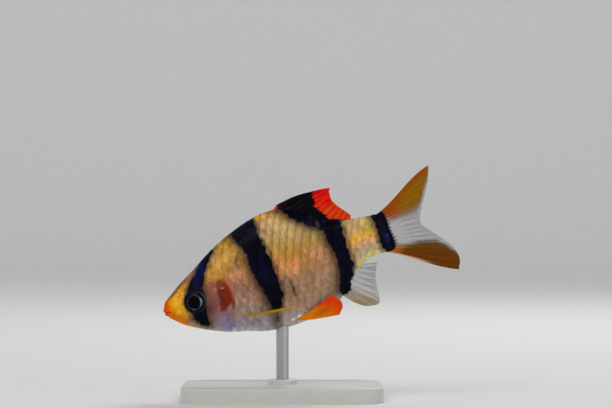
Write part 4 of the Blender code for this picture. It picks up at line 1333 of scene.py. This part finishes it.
def brushed_steel():
    made, tree, shader = shader_material("brushed_steel", Metallic=1.0)
    noise = noise_bump(tree, shader, 0.0004, 0.15, 0.00003, stretch=(1.0, 1.0, 22.0))
    use_tone(tree, shader, noise, (184, 184, 186), 0.85, 1.1)
    tree.links.new(spread(tree, noise, 0.2, 0.42), shader.inputs["Roughness"])
    return made


def turned_points(profile):
    """Points of a profile turned about the world's upright axis, from pairs of radius and height."""
    angle = 2.0 * math.pi * np.arange(TURNED_SIDES) / TURNED_SIDES
    radius, height = np.array(profile).T[:, :, None]
    rings = np.broadcast_arrays(radius * np.cos(angle), radius * np.sin(angle), height)
    return np.stack(rings, axis=-1).reshape(-1, 3)


def turned_piece(name, profile, made):
    """A turned solid, closed at both ends of its profile in millimetres."""
    points = turned_points(profile) * MM
    faces = grid_faces(len(profile), TURNED_SIDES, closed=True).tolist()
    faces += [list(range(TURNED_SIDES))[::-1], list(range(len(points) - TURNED_SIDES, len(points)))]
    thing = mesh_object(name, points, faces, None, made, sharp=STAND_CREASE_DEG)
    outward_faces(thing)
    return thing


def make_base(paint):
    """The flat base, with round corners and a bevelled upper edge."""
    bm = bmesh.new()
    bmesh.ops.create_cube(bm, size=1.0)
    bmesh.ops.scale(bm, vec=Vector(BASE_SIZE), verts=bm.verts)
    bmesh.ops.translate(bm, vec=(0.0, 0.0, BASE_SIZE[2] / 2.0), verts=bm.verts)
    upright = [e for e in bm.edges if abs(e.verts[0].co.z - e.verts[1].co.z) > 1.0]
    bmesh.ops.bevel(bm, geom=upright, offset=BASE_CORNER, segments=24, profile=0.5, affect="EDGES")
    rim = [e for e in bm.edges if min(v.co.z for v in e.verts) > BASE_SIZE[2] - 0.01]
    bmesh.ops.bevel(bm, geom=rim, offset=BASE_EDGE, segments=5, profile=0.5, affect="EDGES")
    bm.verts.index_update()
    points = np.array([v.co for v in bm.verts]) * MM
    faces = [[v.index for v in face.verts] for face in bm.faces]
    bm.free()
    base = mesh_object("base_plate", points, faces, None, paint, sharp=STAND_CREASE_DEG)
    dress(base, "stand_base", "stand_base")


def make_stand(skin):
    """Base, boss and rod. The rod's top is fitted to the belly's skin, just inside it."""
    paint = painted_metal()
    make_base(paint)
    top = BASE_SIZE[2] + BOSS_HEIGHT
    boss = turned_piece("base_boss", (
        (BOSS_RADIUS, BASE_SIZE[2] - 0.4), (BOSS_RADIUS, top - 0.3), (BOSS_RADIUS - 0.09, top - 0.09),
        (BOSS_RADIUS - 0.3, top), (ROD_RADIUS + 0.25, top), (ROD_RADIUS + 0.1, top - 0.12),
        (ROD_RADIUS + 0.1, top - 0.4),
    ), paint)
    dress(boss, "stand_base")
    rod = turned_piece("support_rod", (
        (ROD_RADIUS, top - 0.4), (ROD_RADIUS, top + 0.5), (ROD_RADIUS, top + 8.0), (ROD_RADIUS, top + 9.0),
        (ROD_RADIUS, top + 10.0), (ROD_RADIUS - 0.5, top + 10.0),
    ), brushed_steel())
    bpy.context.view_layer.update()
    corners = [skin.matrix_world @ v.co for v in skin.data.vertices]
    belly = BVHTree.FromPolygons(corners, [p.vertices for p in skin.data.polygons])
    for vertex in rod.data.vertices:
        x, y, z = vertex.co
        if z > (top + 8.5) * MM:
            hit = belly.ray_cast(Vector((x, y, (top + 1.0) * MM)), Vector((0.0, 0.0, 1.0)))[0]
            vertex.co.z = hit.z + (0.15 if z > (top + 9.5) * MM else -0.25) * MM
    dress(rod, "stand_rod", "stand_rod")


def make_stage():
    """A pale round floor that curves up into a wall on every side."""
    profile = [(0.3, 0.0), (STAGE_RADIUS - STAGE_BEND, 0.0)]
    for k in range(1, STAGE_BENDS + 1):
        angle = 0.5 * math.pi * k / STAGE_BENDS
        inset = 1.0 - math.sin(angle)
        profile.append((STAGE_RADIUS - STAGE_BEND * inset, STAGE_BEND * (1.0 - math.cos(angle))))
    profile.append((STAGE_RADIUS, STAGE_HEIGHT))
    points = turned_points(profile) - (0.0, 0.0, STAGE_GAP)
    faces = grid_faces(len(profile), TURNED_SIDES, closed=True)[:, ::-1].tolist()
    faces.append(list(range(TURNED_SIDES)))
    made, tree, shader = shader_material("pale_backdrop", Roughness=0.85)
    use_tone(tree, shader, noise_bump(tree, shader, 0.004, 0.03, 0.0002), (228, 228, 226), 0.985, 1.015)
    mesh_object("backdrop", points, faces, None, made)


def add_area(name, place, target, size, power, color):
    light = bpy.data.lights.new(name, "AREA")
    light.shape = "RECTANGLE"
    light.size, light.size_y = size
    light.energy = power
    light.color = color
    thing = bpy.data.objects.new(name, light)
    thing.location = place
    thing.rotation_euler = (Vector(target) - Vector(place)).to_track_quat("-Z", "Y").to_euler()
    bpy.context.scene.collection.objects.link(thing)


def make_light():
    """A warm key from the upper left, a cool fill and a rim light, and soft lights on the wall all round."""
    for name, place, size, power, color in LIGHTS:
        add_area(name, place, MIDDLE, size, power, color)
    for k in range(WALL_LIGHTS):
        angle = 2.0 * math.pi * (k + 0.5) / WALL_LIGHTS
        out = Vector((math.cos(angle), math.sin(angle), 0.0))
        place = out * WALL_LIGHT_RADIUS + Vector((0.0, 0.0, WALL_LIGHT_HEIGHT))
        target = out * STAGE_RADIUS
        add_area("wall_%d" % k, place, target, WALL_LIGHT_SIZE, WALL_LIGHT_POWER, (1.0, 1.0, 1.0))
    world = bpy.data.worlds.new("studio")
    world.use_nodes = True
    shade = world.node_tree.nodes["Background"]
    shade.inputs["Color"].default_value = SKY_COLOR
    shade.inputs["Strength"].default_value = SKY_STRENGTH
    bpy.context.scene.world = world
    bpy.context.scene.view_settings.view_transform = "Standard"


def make_camera():
    """The photograph's side view, from half a metre away."""
    data = bpy.data.cameras.new("camera")
    data.sensor_width, data.lens = 36.0, LENS
    data.clip_start, data.clip_end = 0.01, 10.0
    camera = bpy.data.objects.new("camera", data)
    camera.location = CAMERA_PLACE
    camera.rotation_euler = (math.radians(90.0), 0.0, 0.0)
    bpy.context.scene.collection.objects.link(camera)
    bpy.context.scene.camera = camera


make_camera()
wet_skin = skin_material()
skin = make_skin(wet_skin)
seats = scale_seats()
front_seats, rear_seats = np.array_split(seats[np.argsort(seats[:, 0], kind="stable")], 2)
for flank_side, flank_word in SIDES:
    make_scales("scales_%s_front" % flank_word, flank_side, front_seats, wet_skin, 40)
    make_scales("scales_%s_rear" % flank_word, flank_side, rear_seats, wet_skin, 42)
make_scales("scales_ridge", -1.0, ridge_seats(), wet_skin, 41)
make_eyes()
make_fins()
make_stand(skin)
make_stage()
make_light()
